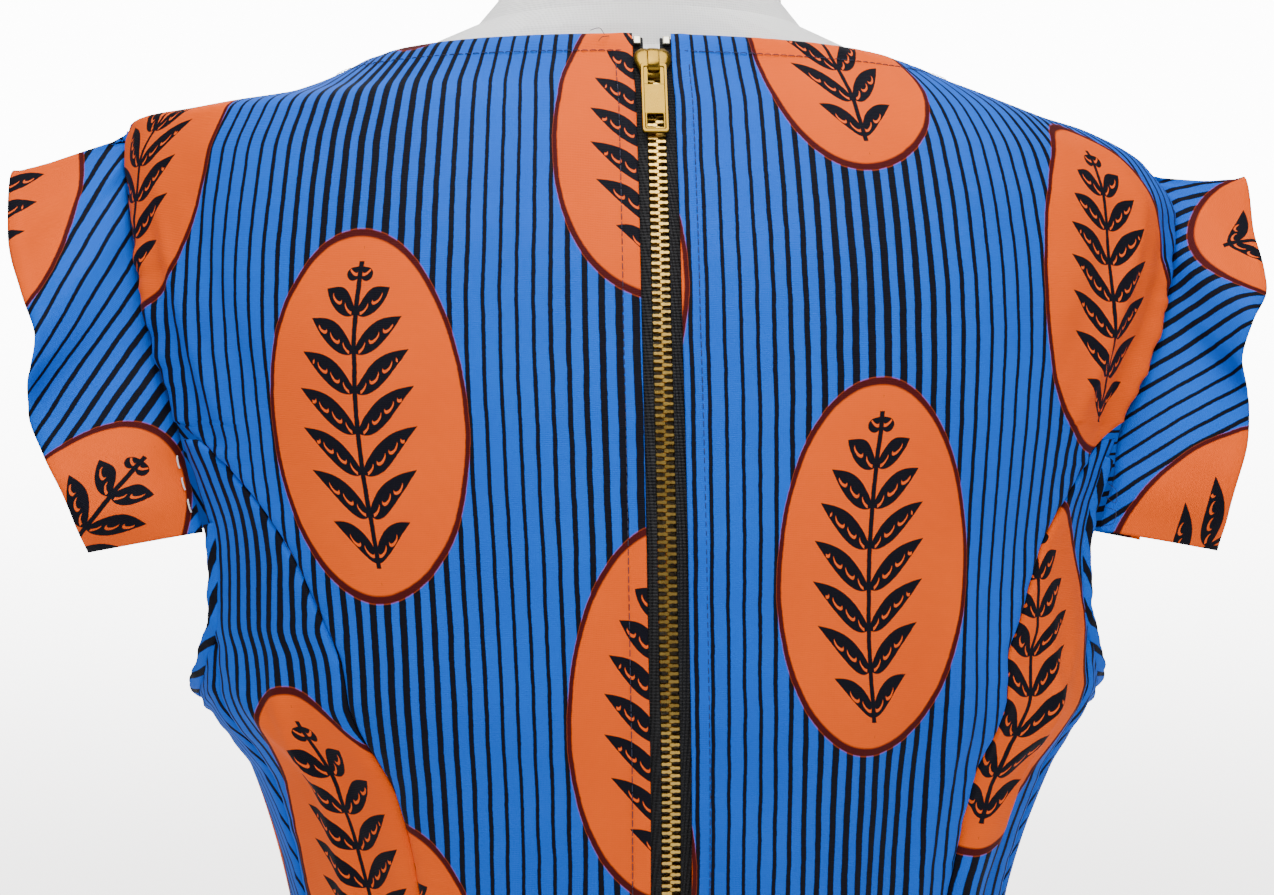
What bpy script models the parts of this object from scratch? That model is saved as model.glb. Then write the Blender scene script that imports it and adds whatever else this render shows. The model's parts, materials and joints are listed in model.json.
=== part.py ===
"""Wax print dress with flutter sleeves and an exposed zip, worn by a limbless dress form on a round stand.

Frame: metres, +Z up. The wearer faces -Y, so the back and its zip face +Y, and the wearer's left is +X.
The origin is on the floor, under the middle of the stand's base.

The dress is one smooth body of horizontal sections. A point on it is given by an angle, 0 at the centre back,
90 at the side and 180 at the centre front, and by its height. Every seam and edge is a curve in these two values.
"""

import math
from collections import namedtuple

import bmesh
import bpy
import numpy as np
from mathutils import Matrix, Vector

# Cloth
WALL = 0.0012
SEAM_GAP = 0.0003
EDGE_PULL = 0.00024
ROLL_CROWD = 0.4
LAY_GAP = 0.0003

# Heights on the dress
HEM_Z = 0.400
SHOULDER_LEFT_Z = 1.354
SHOULDER_RIGHT_Z = 1.343
EVEN_Z = 1.250
NECK_Z = 1.380
FRONT_NECK_Z = 1.300
SCOOP_POWER = 1.4
PRINCESS_TOP_Z = 1.2485
SIDE_TIP_Z = 1.2430
SIDE_TOP_Z = 1.180
SLEEVE_END_Z = 1.243
ZIP_END_Z = 0.825
CLOSED_Z = 0.813
WAIST_Z = 0.985
RIB_Z = 1.095

# Zip
OPENING_HALF = 0.0066
CHAIN_WIDTH = 0.0063
CHAIN_THICK = 0.0026
CHAIN_SINK = 0.0005
CHAIN_REACH = 0.0024
TAPE_WIDTH = 0.0125
TAPE_THICK = 0.0010
SLIDER_Z = 1.3685
SLIDER_LENGTH = 0.0120
SLIDER_WIDTH = 0.0126
PLATE_THICK = 0.0011
BRIDGE_WIDTH = 0.0040
BRIDGE_LENGTH = 0.0094
BRIDGE_RISE = 0.0024
BRIDGE_THICK = 0.0010
BRIDGE_ROUND = 0.0009
PLATE_CLEARANCE = 0.0005
PLATE_EDGE = 0.0004
POST_WIDTH = 0.0024
POST_LOW = 0.0024
POST_HIGH = 0.0006
BITE = 0.0003
PULL_LENGTH = 0.0262
PULL_WIDTH = 0.0089
PULL_THICK = 0.0013
PULL_BAR = 0.00075
PULL_EDGE = 0.0003
PULL_CUT = 0.003
EYE_LENGTH = 0.0075
EYE_CLEARANCE = 0.0004
PULL_WINDOW = 0.0054
WINDOW_MARGIN = 0.0018
HINGE_DROP = 0.0022
HINGE_RISE = 0.0023
PULL_LEAN = 4.0
STOP_Z = 1.3762
STOP_OFFSET = 0.0050
STOP_WIDTH = 0.0024
STOP_LENGTH = 0.0032
STOP_THICK = 0.0016
STOP_EDGE = 0.0003

# The slider's plates, from the top down one side: shares of the half width and of the half length
PlateCorner = namedtuple("PlateCorner", "across along")
PLATE_OUTLINE = [
    PlateCorner(0.64, 1.00),
    PlateCorner(0.90, 0.78),
    PlateCorner(1.00, 0.50),
    PlateCorner(0.98, 0.12),
    PlateCorner(0.76, -0.42),
    PlateCorner(0.64, -1.00),
]

# Armhole binding
BINDING_WIDTH = 0.0050
BINDING_THICK = 0.0010
BINDING_EDGE = 0.0004
BINDING_GAP = 0.0010
BINDING_TOP_LEFT = 1.204
BINDING_TOP_RIGHT = 1.234
BINDING_ROW_LEFT = 4.6
BINDING_ROW_RIGHT = 5.3

# Dress form and stand
FORM_BOTTOM_Z = 0.700
FORM_TOP_Z = 1.460
FORM_ROUND = 0.006
FORM_ROUND_SCALE = 0.97
CAP_RADIUS = 0.046
CAP_THICK = 0.006
CAP_BEVEL = 0.002
POLE_RADIUS = 0.0150
BASE_RADIUS = 0.190
BASE_EDGE = 0.010
BASE_CROWN = 0.022
HUB_RADIUS = 0.032
HUB_HEIGHT = 0.060
HUB_TOP_INSET = 0.010
HUB_ROUND = 0.006
HUB_TAPER = 0.003
HUB_FLARE = 0.006
HUB_FLARE_RISE = 0.012
BASE_SHOULDER = 0.020
BASE_SHOULDER_RISE = 0.004
BASE_BEVEL = 0.003

# Sections of the dress, hem to neck: half widths at the wearer's left and right, depth behind and before the
# middle plane, sideways shift of the middle, and squareness (2 is an ellipse).
Section = namedtuple("Section", "z left right back front sway squareness")
SECTIONS = [
    Section(0.400, 0.1680, 0.1680, 0.0940, 0.1000, 0.0000, 2.10),
    Section(0.520, 0.1710, 0.1710, 0.0990, 0.1050, 0.0000, 2.12),
    Section(0.700, 0.1730, 0.1730, 0.1080, 0.1080, 0.0000, 2.15),
    Section(0.770, 0.1705, 0.1705, 0.1095, 0.1065, 0.0000, 2.15),
    Section(0.830, 0.1615, 0.1615, 0.1060, 0.1025, -0.0010, 2.15),
    Section(0.885, 0.1480, 0.1480, 0.0980, 0.0965, -0.0020, 2.15),
    Section(0.940, 0.1325, 0.1325, 0.0885, 0.0905, -0.0030, 2.18),
    Section(0.985, 0.1240, 0.1240, 0.0835, 0.0890, -0.0035, 2.20),
    Section(1.025, 0.1240, 0.1240, 0.0855, 0.0970, -0.0040, 2.18),
    Section(1.073, 0.1305, 0.1305, 0.0910, 0.1120, -0.0045, 2.15),
    Section(1.125, 0.1445, 0.1490, 0.0990, 0.1250, -0.0040, 2.10),
    Section(1.157, 0.1636, 0.1672, 0.1025, 0.1240, -0.0033, 2.10),
    Section(1.200, 0.1632, 0.1660, 0.1030, 0.1170, -0.0025, 2.10),
    Section(1.240, 0.1714, 0.1771, 0.0995, 0.1050, -0.0020, 2.06),
    Section(1.290, 0.1825, 0.1940, 0.0905, 0.0860, -0.0015, 2.04),
    Section(1.325, 0.1862, 0.1985, 0.0800, 0.0700, -0.0015, 2.02),
    Section(1.343, 0.1875, 0.1885, 0.0730, 0.0620, -0.0015, 2.00),
    Section(1.355, 0.1850, 0.1685, 0.0677, 0.0580, -0.0015, 2.00),
    Section(1.366, 0.1310, 0.1360, 0.0625, 0.0550, -0.0010, 2.00),
    Section(1.380, 0.0970, 0.0970, 0.0555, 0.0520, -0.0010, 2.00),
]

# Seams of the back: the angle of each princess seam and of the side seams at a height.
Seam = namedtuple("Seam", "z princess_left princess_right side")
SEAMS = [
    Seam(0.400, 44.0, 44.0, 86.0),
    Seam(0.785, 42.0, 43.0, 84.0),
    Seam(0.985, 36.0, 42.0, 74.0),
    Seam(1.0925, 36.0, 45.0, 66.0),
    Seam(1.1355, 37.2, 43.0, 65.0),
    Seam(1.1685, 38.8, 43.5, 66.0),
    Seam(1.1800, 41.2, 46.0, 68.0),
    Seam(1.210, 49.0, 52.5, 68.0),
    Seam(1.233, 58.0, 60.0, 69.5),
    Seam(1.2485, 67.5, 68.0, 70.5),
]

# Back armhole from the side seam's top to the shoulder.
BackArmhole = namedtuple("BackArmhole", "z angle")
BACK_ARMHOLE = [
    BackArmhole(1.1800, 68.0),
    BackArmhole(1.2100, 68.0),
    BackArmhole(1.2485, 70.5),
    BackArmhole(1.2700, 73.0),
    BackArmhole(1.3000, 77.0),
    BackArmhole(1.3250, 81.5),
    BackArmhole(1.3430, 90.0),
]

# Front armhole from the side seam's top, down round the underarm and up to the shoulder. The foot is the angle
# at which the same column of cloth leaves the lower front.
FrontArmhole = namedtuple("FrontArmhole", "foot angle z")
FRONT_FOOT_Z = 1.125
FRONT_ARMHOLE = [
    FrontArmhole(65.5, 68.0, 1.1800),
    FrontArmhole(77.0, 77.0, 1.1620),
    FrontArmhole(89.0, 88.0, 1.1550),
    FrontArmhole(104.0, 101.0, 1.1640),
    FrontArmhole(118.0, 109.0, 1.1850),
    FrontArmhole(129.0, 111.5, 1.2150),
    FrontArmhole(137.0, 110.0, 1.2430),
    FrontArmhole(143.0, 106.5, 1.2750),
    FrontArmhole(147.0, 102.5, 1.3050),
    FrontArmhole(150.0, 97.5, 1.3270),
    FrontArmhole(152.5, 90.0, 1.3430),
]
NECK_FOOT = 162.0
COLUMN_BEND = 1.6

# Hem of each sleeve strip, from its back corner over the shoulder to its front corner. The seam is the place on
# the armhole seam, -1 at its back end, 0 at the shoulder and 1 at its front end; beyond 1 the strip hangs free.
Station = namedtuple("Station", "seam x y z")
SLEEVE_LEFT = [
    Station(-1.33, 0.1910, 0.040, 1.2029),
    Station(-1.17, 0.1947, 0.046, 1.2141),
    Station(-1.02, 0.1995, 0.047, 1.2260),
    Station(-0.88, 0.2062, 0.041, 1.2371),
    Station(-0.74, 0.2121, 0.036, 1.2512),
    Station(-0.58, 0.2103, 0.042, 1.2643),
    Station(-0.43, 0.2089, 0.041, 1.2763),
    Station(-0.28, 0.2161, 0.031, 1.2935),
    Station(-0.13, 0.2241, 0.017, 1.3151),
    Station(0.00, 0.2258, 0.002, 1.3398),
    Station(0.13, 0.2219, -0.019, 1.3151),
    Station(0.28, 0.2163, -0.029, 1.2935),
    Station(0.43, 0.2067, -0.043, 1.2763),
    Station(0.58, 0.2105, -0.041, 1.2643),
    Station(0.74, 0.2099, -0.037, 1.2512),
    Station(0.88, 0.2064, -0.040, 1.2371),
    Station(1.02, 0.1973, -0.049, 1.2260),
    Station(1.17, 0.1949, -0.044, 1.2141),
    Station(1.33, 0.1900, -0.040, 1.2029),
]
SLEEVE_RIGHT = [
    Station(-1.33, -0.2049, 0.040, 1.2021),
    Station(-1.17, -0.2063, 0.046, 1.2151),
    Station(-1.01, -0.2095, 0.047, 1.2275),
    Station(-0.86, -0.2155, 0.041, 1.2410),
    Station(-0.72, -0.2183, 0.036, 1.2543),
    Station(-0.57, -0.2133, 0.041, 1.2695),
    Station(-0.42, -0.2169, 0.043, 1.2836),
    Station(-0.28, -0.2258, 0.033, 1.2981),
    Station(-0.13, -0.2274, 0.018, 1.3186),
    Station(0.00, -0.2293, 0.002, 1.3419),
    Station(0.13, -0.2252, -0.019, 1.3186),
    Station(0.28, -0.2260, -0.032, 1.2981),
    Station(0.42, -0.2147, -0.044, 1.2836),
    Station(0.57, -0.2135, -0.040, 1.2695),
    Station(0.72, -0.2161, -0.037, 1.2543),
    Station(0.86, -0.2157, -0.040, 1.2410),
    Station(1.01, -0.2073, -0.049, 1.2275),
    Station(1.17, -0.2065, -0.044, 1.2151),
    Station(1.33, -0.2039, -0.040, 1.2021),
]
SLEEVE_BULGE = 0.0028
SLEEVE_GAP = 0.0015
FREE_EDGE_OUT_LEFT = 0.0015
FREE_EDGE_OUT_RIGHT = 0.0036
FREE_EDGE_ROW = 4
FREE_EDGE_DROP = 0.103

# Largest folds: soft ridges (height above 0) and troughs that run between two points of the surface.
Fold = namedtuple("Fold", "side low_angle low_z high_angle high_z width height")
FOLDS = [
    Fold(-1, 50.0, 0.990, 51.0, 1.140, 5.0, 0.0045),
    Fold(-1, 57.0, 0.990, 55.5, 1.120, 4.0, -0.0035),
    Fold(-1, 33.0, 1.000, 30.0, 1.170, 6.0, -0.0022),
    Fold(1, 47.0, 0.990, 46.0, 1.120, 5.0, -0.0030),
    Fold(1, 27.0, 1.010, 30.0, 1.190, 7.0, 0.0020),
    Fold(1, 62.0, 1.215, 74.0, 1.315, 4.0, 0.0030),
    Fold(-1, 60.0, 1.225, 71.0, 1.300, 3.5, -0.0022),
    Fold(-1, 66.0, 1.235, 78.0, 1.320, 3.5, 0.0030),
    Fold(1, 120.0, 1.000, 116.0, 1.130, 6.0, 0.0035),
    Fold(-1, 122.0, 1.010, 118.0, 1.120, 6.0, -0.0025),
    Fold(-1, 104.0, 0.980, 100.0, 1.120, 6.0, 0.0030),
    Fold(1, 62.0, 0.420, 66.0, 0.640, 10.0, 0.0050),
    Fold(-1, 58.0, 0.420, 60.0, 0.660, 10.0, 0.0045),
    Fold(1, 128.0, 0.420, 124.0, 0.650, 11.0, 0.0050),
    Fold(-1, 134.0, 0.420, 130.0, 0.620, 11.0, 0.0050),
]

# How far the dress form's surface lies inside the dress: at the side, behind and before.
Slack = namedtuple("Slack", "z side back front")
SLACKS = [
    Slack(0.700, 0.0070, 0.0090, 0.0090),
    Slack(0.785, 0.0070, 0.0085, 0.0080),
    Slack(0.985, 0.0090, 0.0095, 0.0080),
    Slack(1.073, 0.0130, 0.0100, 0.0080),
    Slack(1.125, 0.0180, 0.0100, 0.0085),
    Slack(1.157, 0.0300, 0.0090, 0.0080),
    Slack(1.200, 0.0310, 0.0085, 0.0070),
    Slack(1.240, 0.0300, 0.0080, 0.0060),
    Slack(1.290, 0.0280, 0.0075, 0.0055),
    Slack(1.325, 0.0220, 0.0070, 0.0055),
    Slack(1.343, 0.0230, 0.0068, 0.0058),
    Slack(1.355, 0.0190, 0.0066, 0.0058),
    Slack(1.366, 0.0080, 0.0064, 0.0055),
    Slack(1.380, 0.0030, 0.0064, 0.0050),
]
FORM_DROP = 0.0020

# Neck of the form, above the dress's neckline.
Neck = namedtuple("Neck", "z half_width back front")
NECK_SECTIONS = [
    Neck(1.3850, 0.0780, 0.0487, 0.0490),
    Neck(1.3920, 0.0610, 0.0480, 0.0510),
    Neck(1.4020, 0.0525, 0.0480, 0.0520),
    Neck(1.4200, 0.0500, 0.0485, 0.0520),
    Neck(1.4520, 0.0500, 0.0490, 0.0510),
    Neck(1.4600, 0.0470, 0.0460, 0.0480),
]


def smooth_value(places, values, query):
    """A smooth curve through a table's points that never swings past them."""
    x = np.asarray(places, float)
    y = np.asarray(values, float)
    step = np.diff(x)
    slope = np.diff(y) / step
    tangent = np.zeros_like(y)
    tangent[0] = slope[0]
    tangent[-1] = slope[-1]
    for i in range(1, len(y) - 1):
        if slope[i - 1] * slope[i] > 0:
            before = 2 * step[i] + step[i - 1]
            after = step[i] + 2 * step[i - 1]
            tangent[i] = (before + after) / (before / slope[i - 1] + after / slope[i])
    query = np.clip(query, x[0], x[-1])
    i = np.clip(np.searchsorted(x, query, side="right") - 1, 0, len(x) - 2)
    s = (query - x[i]) / step[i]
    start = (1 + 2 * s) * (1 - s) ** 2 * y[i] + s * (1 - s) ** 2 * step[i] * tangent[i]
    end = s * s * (3 - 2 * s) * y[i + 1] - s * s * (1 - s) * step[i] * tangent[i + 1]
    return start + end


def column_value(table, name, place, key="z"):
    places = [getattr(row, key) for row in table]
    values = [getattr(row, name) for row in table]
    return smooth_value(places, values, place)


def section_point(side, angle, z, left, right, back, front, sway, squareness):
    turn = math.radians(angle)
    power = 2.0 / squareness
    across = side * abs(math.sin(turn)) ** power * math.copysign(1.0, math.sin(turn))
    half_width = left if across >= 0 else right
    depth = back if math.cos(turn) >= 0 else -front
    return Vector((sway + half_width * across, depth * abs(math.cos(turn)) ** power, z))


def plain_point(side, angle, z):
    """The dress's outer surface without its folds."""
    values = [float(column_value(SECTIONS, name, z)) for name in Section._fields[1:]]
    return section_point(side, angle, z, *values)


def surface_normal(side, angle, z):
    step_angle = 0.5
    step_z = 0.0015
    low = max(z - step_z, HEM_Z)
    high = min(z + step_z, NECK_Z)
    around = plain_point(side, angle + step_angle, z) - plain_point(side, angle - step_angle, z)
    along = plain_point(side, angle, high) - plain_point(side, angle, low)
    return (along.cross(around) * side).normalized()


def fold_height(side, angle, z):
    total = 0.0
    for fold in FOLDS:
        if fold.side != side or not fold.low_z < z < fold.high_z + 0.03:
            continue
        share = min(max((z - fold.low_z) / (fold.high_z - fold.low_z), 0.0), 1.0)
        middle = fold.low_angle + share * (fold.high_angle - fold.low_angle)
        fade_in = min((z - fold.low_z) / 0.03, 1.0)
        fade_out = min((fold.high_z + 0.03 - z) / 0.06, 1.0)
        total += fold.height * fade_in * fade_out * math.exp(-((angle - middle) / fold.width) ** 2)
    return total


def dress_point(side, angle, z, lift=0.0):
    """A point of the dress's outer surface, moved out by lift."""
    raised = lift + fold_height(side, angle, z)
    return plain_point(side, angle, z) + surface_normal(side, angle, z) * raised


def side_name(side):
    return "left" if side > 0 else "right"


def angle_for_offset(side, z, offset):
    """The angle at which the surface is this far beside the centre back."""
    half_width = float(column_value(SECTIONS, side_name(side), z))
    squareness = float(column_value(SECTIONS, "squareness", z))
    return math.degrees(math.asin((offset / half_width) ** (squareness / 2.0)))


def angle_per_metre(side, angle, z):
    step = 0.5
    length = (plain_point(side, angle + step, z) - plain_point(side, angle - step, z)).length
    return 2 * step / length


def walked(side, angle, z, move):
    """The angle and height reached from a place on the surface by a short move along it."""
    half_turn = 0.5
    half_rise = 0.0015
    around = plain_point(side, angle + half_turn, z) - plain_point(side, angle - half_turn, z)
    along = plain_point(side, angle, z + half_rise) - plain_point(side, angle, z - half_rise)
    mixed = around.dot(along)
    base = around.length_squared * along.length_squared - mixed * mixed
    turns = (move.dot(around) * along.length_squared - move.dot(along) * mixed) / base
    rises = (move.dot(along) * around.length_squared - move.dot(around) * mixed) / base
    return angle + 2 * half_turn * turns, z + 2 * half_rise * rises


def linear(low, high, share):
    return low + (high - low) * share


def spread(low, high, count, crowd=1.0):
    """Even steps from low to high; crowd above 1 sets them closer towards high."""
    return [linear(low, high, 1.0 - (1.0 - i / count) ** crowd) for i in range(count + 1)]


def material(name, colour, roughness, metallic=0.0):
    made = bpy.data.materials.new(name)
    made.use_nodes = True
    shader = made.node_tree.nodes["Principled BSDF"]
    shader.inputs["Base Color"].default_value = (*colour, 1.0)
    shader.inputs["Roughness"].default_value = roughness
    shader.inputs["Metallic"].default_value = metallic
    made.diffuse_color = (*colour, 1.0)
    return made


def clear_scene():
    for old in list(bpy.data.objects):
        bpy.data.objects.remove(old, do_unlink=True)


def collection(name):
    made = bpy.data.collections.new(name)
    bpy.context.scene.collection.children.link(made)
    return made


def mesh_object(name, verts, faces, look, group):
    mesh = bpy.data.meshes.new(name)
    mesh.from_pydata([tuple(v) for v in verts], [], faces)
    mesh.validate()
    work = bmesh.new()
    work.from_mesh(mesh)
    bmesh.ops.recalc_face_normals(work, faces=work.faces)
    work.to_mesh(mesh)
    work.free()
    mesh.shade_smooth()
    mesh.set_sharp_from_angle(angle=math.radians(40))
    made = bpy.data.objects.new(name, mesh)
    made.data.materials.append(look)
    group.objects.link(made)
    return made


def grid_faces(rows, columns, closed=False):
    faces = []
    for r in range(rows - 1):
        for c in range(columns if closed else columns - 1):
            d = (c + 1) % columns
            faces.append((r * columns + c, r * columns + d, (r + 1) * columns + d, (r + 1) * columns + c))
    return faces


def sheet(name, rows, look, group, wall=WALL, outward=None):
    """A cloth wall: an open grid of outer points, given a thickness towards the inside by Solidify."""
    columns = len(rows[0])
    verts = [point for row in rows for point in row]
    mesh = bpy.data.meshes.new(name)
    mesh.from_pydata([tuple(v) for v in verts], [], grid_faces(len(rows), columns))
    middle = mesh.polygons[len(mesh.polygons) // 2]
    away = outward or Vector((middle.center.x, middle.center.y, 0.0))
    if middle.normal.dot(away) < 0:
        mesh.flip_normals()
    mesh.shade_smooth()
    made = bpy.data.objects.new(name, mesh)
    made.data.materials.append(look)
    group.objects.link(made)
    thick = made.modifiers.new("wall", "SOLIDIFY")
    thick.thickness = wall
    thick.offset = -1.0
    return made


def loft(name, rings, look, group):
    """A closed solid through rings of equal point count, with a flat face at each end."""
    columns = len(rings[0])
    verts = [point for ring in rings for point in ring]
    faces = grid_faces(len(rings), columns, closed=True)
    faces.append(tuple(range(columns)))
    faces.append(tuple((len(rings) - 1) * columns + c for c in range(columns)))
    return mesh_object(name, verts, faces, look, group)


def turned(name, profile, look, group, segments=32):
    """A closed profile of radius and height, turned about the vertical axis."""
    mesh = bpy.data.meshes.new(name)
    verts = [(radius, 0.0, z) for radius, z in profile]
    mesh.from_pydata(verts, [(i, i + 1) for i in range(len(verts) - 1)], [])
    made = bpy.data.objects.new(name, mesh)
    made.data.materials.append(look)
    group.objects.link(made)
    screw = made.modifiers.new("turn", "SCREW")
    screw.steps = segments
    screw.render_steps = segments
    screw.use_merge_vertices = True
    screw.merge_threshold = 0.00005
    screw.use_smooth_shade = True
    return made


# Heights of the rows of cloth below the shoulder blades, the same on both sides.
LOW_ROWS = (
    spread(HEM_Z, CLOSED_Z, 7)
    + spread(ZIP_END_Z, WAIST_Z, 3)
    + spread(WAIST_Z, RIB_Z, 3)[1:]
    + spread(RIB_Z, SIDE_TOP_Z, 7)[1:]
    + spread(SIDE_TOP_Z, SIDE_TIP_Z, 4)[1:]
    + [PRINCESS_TOP_Z]
)


def shoulder_z(side):
    """Height of the armhole's top; the wearer's left shoulder stands a little higher."""
    return SHOULDER_LEFT_Z if side > 0 else SHOULDER_RIGHT_Z


def armhole_z(side, z):
    """A height from the armhole tables, stretched above the shoulder blade to reach this side's shoulder."""
    stretch = (shoulder_z(side) - EVEN_Z) / (BACK_ARMHOLE[-1].z - EVEN_Z)
    return EVEN_Z + (z - EVEN_Z) * stretch if z > EVEN_Z else z


def shoulder_rows(side):
    """Heights along the shoulder seam, from above the armhole to the neck. They stand close where it rolls over."""
    return [linear(shoulder_z(side), NECK_Z, share) for share in (0.19, 0.38, 0.57, 0.785, 1.0)]


def back_rows(side):
    return LOW_ROWS + spread(PRINCESS_TOP_Z, shoulder_z(side), 5)[1:] + shoulder_rows(side)


def opening_offset(z):
    """Half the gap between the centre back edges: the zip's opening, closing to a seam below it."""
    share = min(max((z - CLOSED_Z) / (ZIP_END_Z - CLOSED_Z), 0.0), 1.0)
    return linear(EDGE_PULL, OPENING_HALF, share)


def princess_angle(side, z):
    return float(column_value(SEAMS, "princess_left" if side > 0 else "princess_right", z))


def back_edge_angle(side, z):
    """The back's outer edge: side seam, then armhole, then shoulder seam."""
    if z < SIDE_TOP_Z:
        return float(column_value(SEAMS, "side", z))
    heights = [armhole_z(side, row.z) for row in BACK_ARMHOLE]
    return float(smooth_value(heights, [row.angle for row in BACK_ARMHOLE], z))


def pulled_in(side, angle, z, sign, turn=0.0):
    """An edge's angle moved off the seam line by half the seam gap. The turn is the seam's degrees per metre up."""
    per_metre = angle_per_metre(side, angle, z)
    slant = turn / per_metre
    return angle + sign * EDGE_PULL * math.sqrt(1.0 + slant * slant) * per_metre


def princess_turn(side, z):
    step = 0.002
    high = min(z + step, PRINCESS_TOP_Z)
    return (princess_angle(side, high) - princess_angle(side, z - step)) / (high - z + step)


def back_centre(side, look, group):
    columns = 10
    rows = []
    for z in back_rows(side):
        inner = angle_for_offset(side, z, opening_offset(z))
        if z < PRINCESS_TOP_Z:
            outer = pulled_in(side, princess_angle(side, z), z, -1, princess_turn(side, z))
        else:
            outer = pulled_in(side, back_edge_angle(side, z), z, -1)
        crowd = 1.0 + ROLL_CROWD * min(max((z - SIDE_TIP_Z) / (shoulder_z(side) - SIDE_TIP_Z), 0.0), 1.0)
        rows.append([dress_point(side, angle, z) for angle in spread(inner, outer, columns, crowd)])
    return sheet("back_centre_" + side_name(side), rows, look, group)


def back_side(side, look, group):
    columns = 5
    rows = []
    for z in LOW_ROWS[:-1]:
        inner = pulled_in(side, princess_angle(side, z), z, 1, princess_turn(side, z))
        outer = pulled_in(side, back_edge_angle(side, z), z, -1)
        rows.append([dress_point(side, angle, z) for angle in spread(inner, outer, columns)])
    return sheet("back_side_" + side_name(side), rows, look, group)


def front_armhole(side, row):
    """Foot, angle and height at a place along the front armhole, counted in rows of its table."""
    rows = list(range(len(FRONT_ARMHOLE)))
    foot, angle, z = (
        float(smooth_value(rows, [getattr(entry, name) for entry in FRONT_ARMHOLE], row))
        for name in FrontArmhole._fields
    )
    return foot, angle, armhole_z(side, z)


def neckline_point(side, share):
    """Angle and height on the front neckline, a round scoop: share is 0 at the shoulder seam, 1 at the centre."""
    turn = math.radians(90.0 * share)
    z = NECK_Z - (NECK_Z - FRONT_NECK_Z) * math.sin(turn) ** SCOOP_POWER
    beside = getattr(SECTIONS[-1], side_name(side)) * math.cos(turn)
    return 180.0 - angle_for_offset(side, z, beside), z


def front_columns(side):
    """Each column of half the front: its foot, and its top on the armhole, shoulder seam or neckline."""
    made = [front_armhole(side, row) for row in spread(0, len(FRONT_ARMHOLE) - 1, 11)]
    heights = shoulder_rows(side)
    for i, z in enumerate(heights):
        foot = linear(FRONT_ARMHOLE[-1].foot, NECK_FOOT, (i + 1) / len(heights))
        made.append((foot, 90.0, z))
    for share in spread(0, 1, 7)[1:]:
        made.append((linear(NECK_FOOT, 180.0, share), *neckline_point(side, share * share)))
    return made


def front_half(side, row_shares, low_rows):
    """Rows of points from the side seam to the centre front."""
    columns = front_columns(side)
    first_foot = columns[0][0]
    rows = []
    for z in low_rows:
        edge = float(column_value(SEAMS, "side", z))
        rows.append([])
        for foot, _, _ in columns:
            angle = linear(edge, 180.0, (foot - first_foot) / (180.0 - first_foot))
            if foot == first_foot:
                angle = pulled_in(side, angle, z, 1.5)
            rows[-1].append(dress_point(side, angle, z))
    for share in row_shares:
        rows.append([])
        for foot, angle, height in columns:
            z = linear(FRONT_FOOT_Z, height, share)
            at = linear(foot, angle, share**COLUMN_BEND)
            if foot == first_foot:
                at = pulled_in(side, float(column_value(SEAMS, "side", z)), z, 2)
            if angle == 90.0 and share == 1.0:
                at = pulled_in(side, at, z, 1)
            rows[-1].append(dress_point(side, at, z))
    return rows


def front(look, group):
    low_rows = [z for z in LOW_ROWS if z < FRONT_FOOT_Z - 0.004] + [FRONT_FOOT_Z]
    shares = spread(0, 1, 12, 1.0 + 1.3 * ROLL_CROWD)[1:]
    left = front_half(1, shares, low_rows)
    right = front_half(-1, shares, low_rows)
    rows = [a + b[-2::-1] for a, b in zip(left, right)]
    return sheet("front", rows, look, group)


def seam_place(side, place):
    """Angle and height on the armhole's edge: -1 and 1 are the sleeve seam's ends, 0 is the shoulder.

    Beyond the seam's ends the place runs on down the armhole.
    """
    on_seam = min(abs(place), 1.0)
    z = linear(shoulder_z(side), SLEEVE_END_Z, on_seam**1.5) - FREE_EDGE_DROP * (abs(place) - on_seam)
    if place <= 0:
        return back_edge_angle(side, z), z
    upper = [front_armhole(side, row) for row in spread(FREE_EDGE_ROW, len(FRONT_ARMHOLE) - 1, 60)]
    heights = [point[2] for point in upper]
    return float(np.interp(z, heights, [point[1] for point in upper])), z


def sleeve_edge(side, place):
    """The strip's inner edge: just off the armhole's edge, and standing out from it below the seam's ends."""
    angle, z = seam_place(side, place)
    step = 0.03
    before = plain_point(side, *seam_place(side, place - step))
    after = plain_point(side, *seam_place(side, place + step))
    normal = surface_normal(side, angle, z)
    off = normal.cross(after - before).normalized() * side
    fall = max(abs(place) - 1.0, 0.0)
    free_out = FREE_EDGE_OUT_LEFT if side > 0 else FREE_EDGE_OUT_RIGHT
    return plain_point(side, angle, z) + off * SLEEVE_GAP + normal * free_out * min(fall / 0.06, 1.0)


def sleeve(side, look, group):
    stations = SLEEVE_LEFT if side > 0 else SLEEVE_RIGHT
    places = list(range(len(stations)))
    rows = []
    for place in spread(0, len(stations) - 1, 30):
        seam, x, y, z = (
            float(smooth_value(places, [getattr(row, name) for row in stations], place))
            for name in Station._fields
        )
        inner = sleeve_edge(side, seam)
        outer = Vector((x, y, z))
        across = outer - inner
        tangent = sleeve_edge(side, seam + 0.02) - sleeve_edge(side, seam - 0.02)
        bulge = tangent.cross(across).normalized() * side
        row = []
        for share in spread(0, 1, 4):
            row.append(inner + across * share + bulge * SLEEVE_BULGE * math.sin(math.pi * share))
        rows.append(row)
    outward = Vector((side * 0.3, 0.0, 1.0))
    return sheet("sleeve_" + side_name(side), rows, look, group, outward=outward)


def lower_armhole(side):
    """Points (angle, z) of the armhole's edge below the sleeve, from back to front."""
    top_z, last_row = (BINDING_TOP_LEFT, BINDING_ROW_LEFT) if side > 0 else (BINDING_TOP_RIGHT, BINDING_ROW_RIGHT)
    path = []
    for z in spread(top_z, SIDE_TOP_Z, 5)[:-1]:
        path.append((back_edge_angle(side, z), z))
    for row in spread(0, last_row, 14):
        path.append(front_armhole(side, row)[1:])
    return path


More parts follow.
